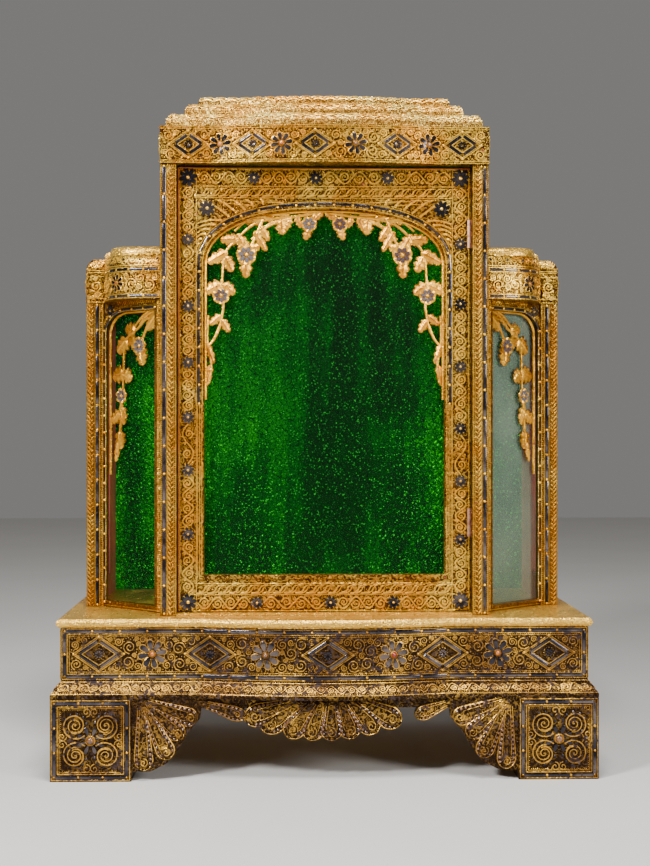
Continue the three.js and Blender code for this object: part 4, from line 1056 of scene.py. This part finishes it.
work.on(flat_front(front - 0.2)).strips(arch_line(6.8, STRAIGHT_TOP + 2), 27.0, 5.8)
work.thread(along(arch_line(2.2, STRAIGHT_TOP + 2), 9), 0.9, 2.6)
outer_line = along(arch_line(10.9, STRAIGHT_TOP + 2), 9)
work.thread(outer_line, 0.8, 1.8)
work.putty(GRAIN, along(outer_line * (1.012, 1.003), 2.8), (0.65, 0.65, 1.2))
for _, side in SIDES:
    rosette(work, SPANDREL_ROSETTE * (side, 1), 12.0)
    angle = np.radians(np.linspace(14, 62, 11))
    inner_up = spring + 4 + np.sin(angle) ** 0.9 * (ARCH_RISE + 12)
    inner = np.stack([np.cos(angle) * (OPENING_HALF + 13), inner_up], 1)
    outer = np.stack([np.full(11, 180.5), np.linspace(spring + 26, crown + 13, 11)], 1)
    over = angle > SPANDREL_CORNER
    outer[over] = np.stack([np.linspace(176, 92, over.sum()), np.full(over.sum(), crown + 14.0)], 1)
    share = np.linspace(0, 1, 9)[None, :, None]
    rays = inner[:, None] * (1 - share) + outer[:, None] * share
    rays[..., 1] += 2.6 * np.sin(share[..., 0] * np.pi)
    away = np.hypot(*(rays[:, -1] - SPANDREL_ROSETTE).T) > 11
    work.thread(rays[away] * (side, 1), 2.4, 2.8, 0.5)
    long_rays = np.array([[(58.0, 806.8), (150.0, 811.0)], [(100.0, 803.0), (150.0, 806.5)]])
    work.thread(long_rays * (side, 1), 1.1, 1.6, 0.5)
add_piece("door_frame_gilt", work.gilt, bright_gilding, body="door", stands_for=["door_frame"])
add_piece("door_mirrors", work.mirrors, dark_mirror, body="door")


def streaks(place, noise, stretch, scale):
    """A noise drawn out along the axes in which the stretch is small."""
    drawn = place.node("ShaderNodeVectorMath", {"operation": "MULTIPLY"}, {0: place, 1: stretch})
    return noise(scale, 3.0, drawn)


def lacquer_finish(name, tint, deep):
    """Dull lacquer on wood: clouds between two tints, brushed along the upright, with small
    scuffs that turn it rougher."""
    material, shader, place, noise = new_finish(name, coat_weight=0.15)
    grain = streaks(place, noise, (60.0, 60.0, 4.0), 6.0)
    tone = (noise(14.0, 3.0) * 0.6 + grain * 0.5).over(0.42, 0.7).mixed(tint, deep)
    feed(shader, bump=grain, depth=0.0004, base_color=tone, roughness=0.42 + grain * 0.25)
    return material


edge_lacquer = lacquer_finish("edge_lacquer", colour(0.55, 0.12, 0.03), colour(0.3, 0.05, 0.02))
edge = Carving(face)
edge.line((x0 + 0.9, z0 + 1), (x0 + 0.9, z1 - 1), 0.9, 0.5, 60)
edge.line((x0 + 1, z1 - 0.9), (x1 - 1, z1 - 0.9), 0.9, 0.5, 60)
add_piece("door_edge_lacquer", edge.gilt, edge_lacquer, body="door")

brass, shader, place, noise = new_finish("tarnished_brass", metallic=0.9)
tarnish = noise(120.0, 4.0).over(0.4, 0.65)
tone = tarnish.mixed(colour(0.62, 0.36, 0.24), colour(0.3, 0.13, 0.08))
feed(shader, bump=noise(500.0), base_color=tone, roughness=0.32 + tarnish * 0.2)
for word in ("lower", "upper"):
    paint([f"hinge_{word}_post_leaf", f"hinge_{word}_door_leaf"], brass)


# Door garland. Pierced and gilded wood inside the arch: leafy stems, and flowers set with
# pale mirror petals. Places are out from the door's middle and down from the arch's crown.
GARLAND_STEMS = [
    [(8, -4), (40, -9), (70, -12), (100, -20), (127, -44), (142, -64), (146, -104)],
    [(88, -14), (98, -38), (110, -62)],
    [(146, -100), (147, -122), (144, -138), (148, -163)],
    [(166, -150), (167, -186), (163, -206), (161, -226), (164, -246)],
    [(148, -163), (156, -182), (167, -196)],
    [(14, -6), (22, -20)],
    [(50, -6), (76, -7), (108, -14), (128, -30)],
    [(46, -12), (74, -18), (92, -30)],
    [(52, -14), (78, -22), (104, -42)],
]
GARLAND_LEAVES = [
    [(2, -2), (15, -14), 4], [(22, -26), (27, -41), 5], [(40, -10), (33, -24), 4],
    [(48, -11), (55, -28), 4], [(62, -12), (60, -33), 7], [(72, -12), (88, -8), 6],
    [(86, -13), (122, -9), 8], [(92, -22), (80, -42), 5], [(100, -30), (84, -56), 5],
    [(112, -58), (94, -52), 7], [(112, -56), (124, -36), 7], [(112, -66), (112, -94), 7],
    [(124, -42), (146, -42), 7], [(138, -60), (164, -74), 7], [(142, -66), (132, -86), 7],
    [(146, -106), (168, -116), 8], [(146, -106), (129, -118), 7], [(147, -150), (162, -162), 5],
    [(147, -156), (136, -172), 5], [(167, -190), (158, -216), 4], [(162, -220), (167, -248), 4],
]
GARLAND_FLOWERS = [(22, -20, 11), (111, -64, 14), (147, -122, 12)]
LEAF_SECTION = ((-1, 0), (-0.55, 0.55), (-0.12, 0.9), (0, 0.55), (0.12, 0.9), (0.55, 0.55), (1, 0), (0, -0.8))
LEAF_WIDTHS = (
    (0, 0.2), (0.08, 0.55), (0.2, 0.95), (0.31, 0.92), (0.41, 0.66), (0.52, 0.95),
    (0.64, 0.86), (0.73, 0.55), (0.84, 0.62), (0.94, 0.42), (1, 0.1),
)
FREE_LEAF = np.array(
    [[(x * wide, up, out * (0.4 + 0.6 * wide)) for x, out in LEAF_SECTION] for up, wide in LEAF_WIDTHS]
)
PETAL_SECTION = ((-1, 0.2), (-0.5, 0.7), (0.5, 0.7), (1, 0.2), (0, -0.6))
PETAL_WIDTHS = ((0, 0.35, 0.0), (0.3, 0.8, 0.1), (0.65, 1.0, 0.35), (0.9, 0.75, 0.6), (1, 0.3, 0.6))
FREE_PETAL = np.array(
    [[(x * wide, up, out + lift) for x, out in PETAL_SECTION] for up, wide, lift in PETAL_WIDTHS]
)


def rounded(points, steps=6):
    """A smooth line through points: each span is a Catmull-Rom cubic."""
    points = np.array(points, float)
    knots = np.vstack([2 * points[0] - points[1], points, 2 * points[-1] - points[-2]])
    t = np.linspace(0, 1, steps, endpoint=False)[None, :, None]
    a, b, c, d = (knots[i : len(knots) - 3 + i, None] for i in range(4))
    line = 0.5 * (2 * b + (c - a) * t + (2 * a - 5 * b + 4 * c - d) * t**2 + (3 * b - a - 3 * c + d) * t**3)
    return np.concatenate([line.reshape(-1, 2), points[-1:]])


def rod(face, line, radius, taper=0.35):
    """A round rod along a line of (across, up), thinner towards its end."""
    ahead = np.gradient(line, axis=0)
    ahead /= np.linalg.norm(ahead, axis=1, keepdims=True)
    size = radius * (1 - taper * np.linspace(0, 1, len(line)))[:, None]
    angle = around(8)
    u = line[:, 0:1] - ahead[:, 1:2] * np.cos(angle) * size
    v = line[:, 1:2] + ahead[:, 0:1] * np.cos(angle) * size
    points = face(u, v, np.sin(angle) * size).reshape(-1, 3)
    # Relief high on the rod's front and low on its back: painted highlight in front and painted shade behind.
    relief = np.broadcast_to(0.6 + 0.4 * np.sin(angle), u.shape).ravel()
    return points, outward(points, skin(1, *u.shape)), relief


def garland(depth, at, stems, leaves, flowers, spread):
    """Stems, leaves and flowers carved free, at places that a function sets out. The depth is
    a function too: it gives the face that stands out by a distance."""
    work = Carving(depth(0.0))
    work.gilt = [rod(work.face, at(rounded(line)), 2.6) for line in stems]
    start = at(np.array([leaf[0] for leaf in leaves], float))
    ahead = at(np.array([leaf[1] for leaf in leaves], float)) - start
    half = np.array([leaf[2] for leaf in leaves], float)
    size = np.stack([half * spread, np.linalg.norm(ahead, axis=1) * 1.1, 0 * half + 3.4], 1)
    work.putty(FREE_LEAF, start, size, np.arctan2(ahead[:, 1], ahead[:, 0]) - np.pi / 2)
    top = work.on(depth(2.6))
    for x, drop, radius in flowers:
        place = at(np.array([[x, drop]], float))[0]
        places, turns = petals_round(place, radius * 0.15, 7, 0.3)
        work.putty(FREE_PETAL, places, (radius * 0.42, radius * 0.9, 3.0), turns)
        places, turns = petals_round(place, radius * 0.26, 7, 0.3)
        top.glass(PETAL, places, (radius * 0.26, radius * 0.55, 1.8), turns)
        top.putty(BEAD, place, (radius * 0.22, radius * 0.22, 2.6))
    return work


# Its dark ground colour is painted shade on the edges and backs of the garland's leaves and stems.
garland_gilding = gilding(
    "garland_gilding",
    leaf=colour(0.9, 0.46, 0.035),
    shade=colour(0.62, 0.27, 0.015),
    ground=colour(0.15, 0.045, 0.004),
    lacquer=colour(0.3, 0.08, 0.01),
    wear=0.9,
)
pale_mirror = glass_setting("pale_mirror", colour(0.5, 0.46, 0.47), colour(0.3, 0.2, 0.2), 0.1)
garland_front = front + 7.0


def garland_depth(out):
    """The face on which the door's garland is carved, nearer by a distance."""
    return flat_front(garland_front - out)


def hung_left(spots):
    """Places left of the door's middle, down from the arch's crown."""
    return spots * (-1, 1) + (0, crown)


def hung_right(spots):
    """Places right of the door's middle, down from the arch's crown."""
    return spots + (0, crown)


gilt, mirrors = [], []
for hung in (hung_left, hung_right):
    work = garland(garland_depth, hung, GARLAND_STEMS, GARLAND_LEAVES, GARLAND_FLOWERS, 1.5)
    gilt += work.gilt
    mirrors += work.mirrors
gilt.append(rod(garland_depth(0.0), along(arch_line(-1.5, spring - 190), 7), 2.4, taper=0.0))
add_piece("door_garland_gilt", gilt, garland_gilding, body="door", stands_for=["door_garland"])
add_piece("door_garland_petals", mirrors, pale_mirror, body="door")


# Panes and lining. The door, the left window and the side walls hold clear thin glass; the right
# window's glass carries a pale painted reflection. The back is covered with a crinkled sheet of
# green glitter, with painted shade in its creases, painted glints on some flakes and a faint
# painted glow.
clear, shader, place, noise = new_finish("clear_glass", roughness=0.05, alpha=0.05)
tint = noise(3.0).mixed(colour(0.02, 0.05, 0.03), colour(0.03, 0.06, 0.04))
feed(shader, bump=noise(9.0), depth=0.0004, base_color=tint)
paint(["door_glass", "wing_glass_left", "wing_side_glass_left", "wing_side_glass_right"], clear)
# The right window's pane: half see-through, with a pale grey-green painted reflection over it.
reflection_glass, shader, place, noise = new_finish("painted_reflection_glass", roughness=0.12, alpha=0.4)
pale_reflection = noise(11.0, 3.0).over(0.3, 0.7).mixed(colour(0.16, 0.23, 0.17), colour(0.24, 0.31, 0.23))
feed(shader, bump=noise(9.0), depth=0.0004, base_color=pale_reflection)
paint(["wing_glass_right"], reflection_glass)

# The lining glows faintly in its own green, a painted light.
glitter, shader, place, noise = new_finish("green_glitter", metallic=1.0, emission_strength=0.3)
flake = place.node("ShaderNodeTexVoronoi", {}, {"Vector": place, "Scale": 640.0}, output=1)
flake_tone = flake.node("ShaderNodeSeparateColor", {}, {0: flake})
edges = {"feature": "DISTANCE_TO_EDGE"}
crinkle = place.node("ShaderNodeTexVoronoi", edges, {"Vector": place, "Scale": 150.0})
seam = streaks(place, noise, (1.0, 1.0, 0.12), 26.0)
cloud = (noise(4.0, 2.0) * 0.7 + seam * 0.5).over(0.5, 0.76)
dull = cloud.mixed(colour(0.0, 0.04, 0.0), colour(0.0, 0.26, 0.0))
# Painted shade: the crinkles' creases go near black.
crease_shade = crinkle.over(0.0, 0.09).mixed(colour(0.0, 0.02, 0.0), dull)
# Painted glints: the brightest few flakes go bright green.
green = flake_tone.over(0.92, 1.02).mixed(crease_shade, colour(0.05, 0.8, 0.05))
bump = crinkle * 3.0 + noise(260.0, 3.0)
rough = 0.22 + flake_tone * 0.3
feed(shader, bump=bump, depth=0.0012, base_color=green, emission_color=green, roughness=rough)
paint(["back_lining"], glitter)


# Frieze and cap. The frieze bows forward over the door and carries mirror lozenges and flowers
# with amber stones. Three quarter-round steps above it have a scalloped line and grains.
FRIEZE_BOW = (15.0, 150.0)
FRIEZE_REACH = 5.0
FRIEZE_LOZENGES = [-192.0, -101.5, -14.0, 101.5, 194.0]
FRIEZE_BLOOMS = [(-147.0, 1), (-61.0, 1), (43.0, 0), (147.0, 0)]
FRIEZE_RADII = (9.0, 7.2, 5.6, 4.2, 1.9)
low, high = corners("frieze")
front = corners("front_post_left")[0][1] + ROPE_RISE - FRIEZE_REACH
half, back, z0, z1 = high[0], high[1], low[2], high[2]
middle = (z0 + z1) / 2
hole = ((-half + 14, front + 29), (half - 14, back - 0.5))
plan = bowed_plan(half, front, back, FRIEZE_BOW)
work = Carving(bowed_front(front, FRIEZE_BOW), belt(plan, [(0, z0), (0, z1)], hole))
stones, *taken = ornament(work, middle, FRIEZE_LOZENGES, 29.0, 20.5, FRIEZE_BLOOMS, 15.5, (4.0, 4.0, 5.8))
scroll_bed(work, (-half + 4, z0 + 5), (half - 4, z1 - 5), *taken, FRIEZE_RADII, 11, 1.35)
for z in (z0 + 1.2, z0 + 4.2, z1 - 1.2, z1 - 4.2):
    work.line((-half + 0.5, z), (half - 0.5, z), 0.6, 1.2, 8)
for z in (z0 + 2.7, z1 - 2.7):
    work.row((-half + 2, z), (half - 2, z), 2.8, 0.7, 1.2)
for _, side in SIDES:
    turned = work.on(beside(flat_front(0), side, half))
    vine(turned, (front + 6, middle), (back - 6, middle), 17.0, 5, scale=1.2)
    for z in (z0 + 3, z1 - 3):
        turned.line((front + 1, z), (back - 1, z), 0.8, 1.2)
add_pair(work, "frieze", bright_gilding, stands_for=["frieze"])
add_piece("frieze_brown_stones", stones[0], brown_glass)
add_piece("frieze_amber_stones", stones[1], amber_glass)

for word in ("lower", "middle", "upper"):
    low, high = corners(f"cap_{word}")
    cap_half, cap_front, rise = high[0], low[1] + FRIEZE_BOW[0], high[2] - low[2]
    reach = min(12.0, (rise + 0.3) * 0.7)
    turn = np.linspace(0, np.pi / 2, 9)
    quarter = np.stack([reach * (1 - np.cos(turn)), low[2] + 4 + (rise - 4) * np.sin(turn)], 1)
    profile = np.concatenate([[(0, low[2])], quarter])
    bow = (FRIEZE_BOW[0], FRIEZE_BOW[1] - 0.6 * (half - cap_half))
    face, run = sloped(profile, cap_half, cap_front, bow)
    work = Carving(face, belt(bowed_plan(cap_half, cap_front, high[1], bow), profile))
    crest = run - 9.5
    edge = cap_half - 2
    spots = np.linspace(-edge, edge, 420)
    scallop = np.abs(np.sin(spots / 17.5 * np.pi))
    work.thread(np.stack([spots, crest + 3.4 * scallop], 1), 1.3, 2.2)
    work.thread(np.stack([spots, crest - 3.6 + 3.0 * scallop], 1), 0.9, 1.6)
    for shift, lean in ((0.0, -1.0), (8.7, 1.0)):
        row = along(((3 - edge + shift, crest + 0.5), (edge - 3, crest + 0.5)), 17.5)
        work.putty(LEAFLET, row, (2.2, 6.4, 2.6), lean)
    for up in (2.2, crest - 6.0):
        work.row((-edge, up), (edge, up), 3.0, 0.8, 1.1)
    add_piece(f"cap_{word}_gilt", work.gilt, pale_gilding, stands_for=[f"cap_{word}"])


# Wings. Corner posts with the same mirror and leaf bands, canted windows under a half arch of
# mirror strips, a swelling drum of scrolls above, a cove and a plain gilded roof. The leafy
# garland in each window is pierced and gilded wood; the drum's plain underside takes the
# gilding's painted shade.
WINDOW_START = np.array([232.3, -127.0])
WINDOW_END = np.array([324.7, -39.0])
WINDOW_STILES = (11.0, 4.0)
WINDOW_RAIL = 9.0
ARCH_DROP = 30.0
HEAD_RAIL = 14.0
DRUM_BULGE = 30.0
SIDE_START = -42.0
WING_HALF = corners("wing_post_right")[1][0]
WINDOW_CROWN = corners("wing_frieze_right")[0][2] - HEAD_RAIL
SILL = corners("wing_post_right")[0][2]
WINDOW_LENGTH = math.dist(WINDOW_START, WINDOW_END)
SLANT = (WINDOW_END - WINDOW_START) / WINDOW_LENGTH
WING_STEMS = [
    [(112, -4), (96, -12), (82, -14), (66, -26), (50, -34), (36, -50), (33, -104), (31, -130)],
    [(92, -16), (80, -34), (71, -50)],
    [(31, -124), (24, -150), (8, -158), (5, -176), (5, -228)],
    [(31, -124), (25, -184), (20, -214)],
    [(114, -9), (98, -20), (88, -30)],
    [(90, -2), (76, -9), (58, -24)],
    [(104, -2), (88, -7), (70, -20)],
]
WING_LEAVES = [
    [(112, -4), (88, -26), 8], [(60, -30), (40, -26), 7], [(42, -42), (22, -58), 8],
    [(71, -54), (76, -78), 8], [(70, -50), (46, -44), 6], [(34, -90), (12, -96), 8],
    [(34, -90), (50, -100), 7], [(29, -140), (34, -164), 6], [(26, -148), (9, -162), 6],
    [(25, -176), (27, -200), 7], [(22, -190), (16, -218), 4],
]
WING_FLOWERS = [(71, -52, 13), (31, -124, 11)]


def canted_front(side, behind=0.0):
    """The window's slanting front: across runs from its inner end, out is square to it."""

    def face(across, up, out):
        x = WINDOW_START[0] + SLANT[0] * across + SLANT[1] * (out - behind)
        y = WINDOW_START[1] + SLANT[1] * across - SLANT[0] * (out - behind)
        return np.stack([side * x, y, up], -1)

    return face


def wing_line(inset, bulge=DRUM_BULGE):
    """Half of a wing's plan, from the centre round the drum to the corner: the drum swells
    square to the window by four t (1 - t) times three quarters and a quarter sine."""
    a = WINDOW_START + (0, inset - 2)
    b = WINDOW_END + (-0.7 - 0.3 * inset, 0.6 * inset - 4)
    ahead = (b - a) / np.linalg.norm(b - a)
    t = np.linspace(0, 1, 25)[:, None]
    out = bulge * 4 * t * (1 - t) * (0.75 + 0.25 * np.sin(np.pi * t))
    drum = a + (b - a) * t + out * np.array([ahead[1], -ahead[0]])
    return np.concatenate([drum, [(WING_HALF - 24.4 - 0.3 * inset, b[1] - 1), (WING_HALF - inset, b[1] - 1)]])


def wing_plan(side, back, bulge=DRUM_BULGE):
    """The closed plan of a wing's drum, cove or roof, drawn in by an inset."""

    def plan(inset):
        rear = [(WING_HALF - inset, back), (WINDOW_START[0], back)]
        return np.concatenate([wing_line(inset, bulge), rear]) * (side, 1)

    return plan


def wing_front(side, profile):
    """The drum's front: across runs round it from the centre, up along its profile. Returned
    with the profile's length and the drum's."""
    tall, at = rolled(profile)
    lines = [wing_line(inset) for inset in (0.0, 10.0)]
    length = np.r_[0, np.cumsum(np.linalg.norm(np.diff(lines[0], axis=0), axis=1))]

    def face(across, up, out):
        inset, z = at(up, out)
        outer, inner = ([np.interp(across, length, line[:, i]) for i in (0, 1)] for line in lines)
        x, y = (a + (b - a) * inset / 10.0 for a, b in zip(outer, inner))
        return np.stack([side * x, y, z], -1)

    return face, tall, length[-3]


def window_opening(grow):
    """The window's opening as it is seen from the front: a half arch up to the inner end."""
    x0 = WINDOW_START[0] + WINDOW_STILES[0] - grow
    x1 = WINDOW_END[0] - WINDOW_STILES[1] + grow
    top, springing = WINDOW_CROWN + grow, WINDOW_CROWN - ARCH_DROP + grow * 0.6
    flat = x0 + (x1 - x0) * 0.6
    arch = (flat, springing) + (x1 - flat, top - springing) * on_circle(np.linspace(0, np.pi / 2, 13))
    line = np.concatenate([[(x1, SILL + WINDOW_RAIL - grow)], arch, [(x0, top)]])
    line[:, 0] = (line[:, 0] - WINDOW_START[0]) / SLANT[0]
    return line


def hung_in_window(spots):
    """Places given as out from the window's outer stile and down from its crown."""
    return spots * (-1, 1) + (WINDOW_LENGTH - WINDOW_STILES[1], WINDOW_CROWN)


for word, side in SIDES:
    lines = ((1.2, 12.6, 19.4, 24.2), 0.5, 1.2)
    rows = ((21.8, 23.2), 0.7, 1.1)
    dress_post(f"wing_post_{word}", side, WING_HALF, 38, 16.15, (7.0, 6.4, 1.6, 9.0, -0.6), lines, rows)

    work = Carving(canted_front(side))
    border = work.on(canted_front(side, -1.5))
    border.strips(window_opening(1.9)[::-1], 25.0, 3.6)
    border.thread(along(window_opening(-0.2), 8), 0.6, 1.0)
    work.thread(along(window_opening(5.0)[1:], 8), 0.7, 1.6)
    work.putty(GRAIN, along(window_opening(7.0)[1:], 2.8), (0.7, 0.7, 1.2))
    top = WINDOW_CROWN + HEAD_RAIL
    corner = (WINDOW_LENGTH - 16.0, WINDOW_CROWN + 1.5)
    places, turns = petals_round(corner, 1.8, 8, 0.2)
    work.glass(PETAL, places, (2.4, 6.6, 2.6), turns)
    work.putty(DISC, corner, (8.6, 8.6, 1.2))
    work.putty(BEAD, corner, (1.7, 1.7, 3.2))
    ribs = along(((14.0, WINDOW_CROWN + 8.5), (WINDOW_LENGTH - 30.0, WINDOW_CROWN + 8.5)), 4.2)[:-1]
    work.putty(LEAFLET, ribs, (1.5, 8.0, 1.9), -0.5)
    for across in (2.0, 5.4, 8.8):
        work.line((across, SILL + 1), (across, top - 1), 0.6, 1.1)
    for across in (3.7, 7.1):
        work.row((across, SILL + 2), (across, top - 2), 2.8, 0.7, 1.1)
    for up in (SILL + 2.4, SILL + 6.6):
        work.line((1, up), (WINDOW_LENGTH - 1, up), 0.7, 1.0)
    add_pair(work, f"wing_window_{word}", bright_gilding, "putty")

    def window_depth(out):
        """The face on which this window's garland is carved, nearer by a distance."""
        return canted_front(side, 6.0 - out)

    work = garland(window_depth, hung_in_window, WING_STEMS, WING_LEAVES, WING_FLOWERS, 1.9)
    rib = window_opening(-1.8)
    rib = rib[rib[:, 1] > WINDOW_CROWN - 100]
    rib = np.concatenate([[(rib[0, 0], WINDOW_CROWN - 240)], rib])
    work.gilt.append(rod(work.face, along(rib, 7), 2.2, taper=0.0))
    stands_for = [f"wing_garland_{word}"]
    add_piece(f"wing_garland_{word}_gilt", work.gilt, garland_gilding, stands_for=stands_for)
    add_piece(f"wing_garland_{word}_petals", work.mirrors, pale_mirror)

    low, high = corners(f"wing_frieze_{word}")
    z0, z1, back = low[2], high[2], high[1]
    profile = [(0, z0), (0, z1)]
    face, run, length = wing_front(side, profile)
    heart = (length / 2, run / 2)
    work = Carving(face, belt(wing_plan(side, back), profile))
    for up in (4.0, run - 4.0):
        work.strips(((4, up), (length - 2, up)), 22.0, 3.6)
    for up in (1.1, 6.9, run - 6.9, run - 1.1):
        work.line((1, up), (length + 24, up), 0.6, 1.3, 5)
    for up in (8.8, run - 8.8):
        work.row((3, up), (length - 3, up), 2.8, 0.7, 1.1)
    bloom(work, heart, 12.5)
    beds = (((4, 10), (length - 9, run - 10), 31), ((length + 3, 4), (length + 21, run - 4), 33))
    for start, end, seed in beds:
        scroll_bed(work, start, end, [(*heart, 13.0)], [], (8.4, 6.6, 4.8, 3.4, 1.7), seed, 1.3)
    work.strips(((length - 3, 4), (length - 3, run - 4)), 19.0, 3.6)
    turned = work.on(beside(flat_front(0), side, WING_HALF))
    middle = (z0 + z1) / 2
    vine(turned, (SIDE_START, middle), (back - 5, middle), 14.0, 4, scale=1.1)
    for z in (z0 + 3, z1 - 3):
        turned.line((SIDE_START, z), (back - 1, z), 0.8, 1.2)
    add_pair(work, f"wing_frieze_{word}", bright_gilding, stands_for=[f"wing_frieze_{word}"])
    stone = copies(face, BEAD, heart, (3.0, 3.0, 5.4))
    add_piece(f"wing_frieze_{word}_stone", [stone], amber_glass)

    low, high = corners(f"wing_cove_{word}")
    quarter = on_circle(np.linspace(0, np.pi / 2, 9))
    profile = np.array([14.0, low[2]]) + quarter * (-14.0, high[2] - low[2])
    face, run, length = wing_front(side, profile)
    work = Carving(face, belt(wing_plan(side, back), profile))
    vine(work, (3, run * 0.42), (length - 3, run * 0.42), 6.4, 6, scale=0.9)
    vine(work, (length + 2, run * 0.42), (length + 22, run * 0.42), 6.4, 1, scale=0.9)
    work.glass(DISC, along(((6, run * 0.4), (length - 6, run * 0.4)), 26.0), (2.6, 2.6, 1.7))
    for up in (1.4, run * 0.78):
        work.line((1, up), (length + 24, up), 0.7, 1.3, 5)
    add_pair(work, f"wing_cove_{word}", bright_gilding, stands_for=[f"wing_cove_{word}"])

    low, high = corners(f"wing_roof_{word}")
    edge = low[2]
    profile = [(26, edge), (26, edge + 4.5), (27, edge + 7.5), (29, edge + 10), (32, high[2])]
    roof = belt(wing_plan(side, back, DRUM_BULGE + 6), profile)
    add_piece(f"wing_roof_{word}_gilt", [roof], board_gilding, stands_for=[f"wing_roof_{word}"])
    paint([f"wing_post_{word}", f"wing_window_{word}"], pale_gilding)


# Lacquered parts. The back board, the side walls, the ceiling, the back apron and the two back
# feet are wood under dull red lacquer; the plain side aprons are rubbed gold.
red_lacquer = lacquer_finish("red_lacquer", colour(0.38, 0.07, 0.045), colour(0.2, 0.04, 0.03))
for word, _ in SIDES:
    paint([f"foot_back_{word}", f"wing_side_{word}"], red_lacquer)
paint(["back_panel", "ceiling", "apron_back"], red_lacquer)
rubbed_gilding = gilding(
    "rubbed_gilding",
    leaf=colour(0.5, 0.33, 0.13),
    shade=colour(0.3, 0.19, 0.08),
    ground=colour(0.42, 0.27, 0.11),
    lacquer=colour(0.1, 0.03, 0.02),
    wear=0.84,
)
paint(["apron_left", "apron_right"], rubbed_gilding)


# Camera at the photograph's place, three soft lamps, and a plain pale floor. The camera's
# place and tilt were fitted to the level and upright edges of the shrine.
LENS = 63.19
CAMERA_PLACE = (-0.0533, -2.303, 0.4864)
CAMERA_TILT = (90.0 - 0.157, 0.0, -1.43)
camera_data = bpy.data.cameras.new("camera")
camera_data.lens = LENS
camera_data.sensor_width = 36.0
camera = bpy.data.objects.new("camera", camera_data)
camera.location = CAMERA_PLACE
camera.rotation_euler = Euler([math.radians(angle) for angle in CAMERA_TILT])
bpy.context.scene.collection.objects.link(camera)
bpy.context.scene.camera = camera

LAMPS = [
    ("key_lamp", (-1.6, -2.0, 2.0), 0.5, 120.0),
    ("fill_lamp", (1.8, -1.9, 1.2), 0.7, 50.0),
    ("top_lamp", (0.1, -1.0, 2.5), 0.6, 60.0),
]
AIM = np.array([0.0, 0.0, 0.5])
for name, place, size, power in LAMPS:
    lamp = bpy.data.lights.new(name, "AREA")
    lamp.energy = power
    lamp.size = size
    holder = bpy.data.objects.new(name, lamp)
    holder.location = place
    way = AIM - np.array(place)
    yaw = math.atan2(way[1], way[0]) - math.pi / 2
    pitch = math.atan2(way[2], math.hypot(way[0], way[1])) + math.pi / 2
    holder.rotation_euler = Euler((pitch, 0.0, yaw))
    bpy.context.scene.collection.objects.link(holder)

world = bpy.data.worlds.new("studio")
world.use_nodes = True
world.node_tree.nodes["Background"].inputs["Color"].default_value = colour(0.5, 0.49, 0.48)
world.node_tree.nodes["Background"].inputs["Strength"].default_value = 0.4
bpy.context.scene.world = world

FLOOR_HALF = 6.0
floor_mesh = bpy.data.meshes.new("floor")
floor_corners = rectangle(-FLOOR_HALF, FLOOR_HALF, -FLOOR_HALF, FLOOR_HALF)
floor_mesh.from_pydata([(x, y, 0) for x, y in floor_corners], [], [(0, 1, 2, 3)])
floor_finish, floor_shader, place, noise = new_finish("floor_finish", roughness=0.7)
feed(floor_shader, base_color=noise(3.0).mixed(colour(0.6, 0.58, 0.55), colour(0.66, 0.64, 0.61)))
floor_mesh.materials.append(floor_finish)
floor = bpy.data.objects.new("floor", floor_mesh)
bpy.context.scene.collection.objects.link(floor)
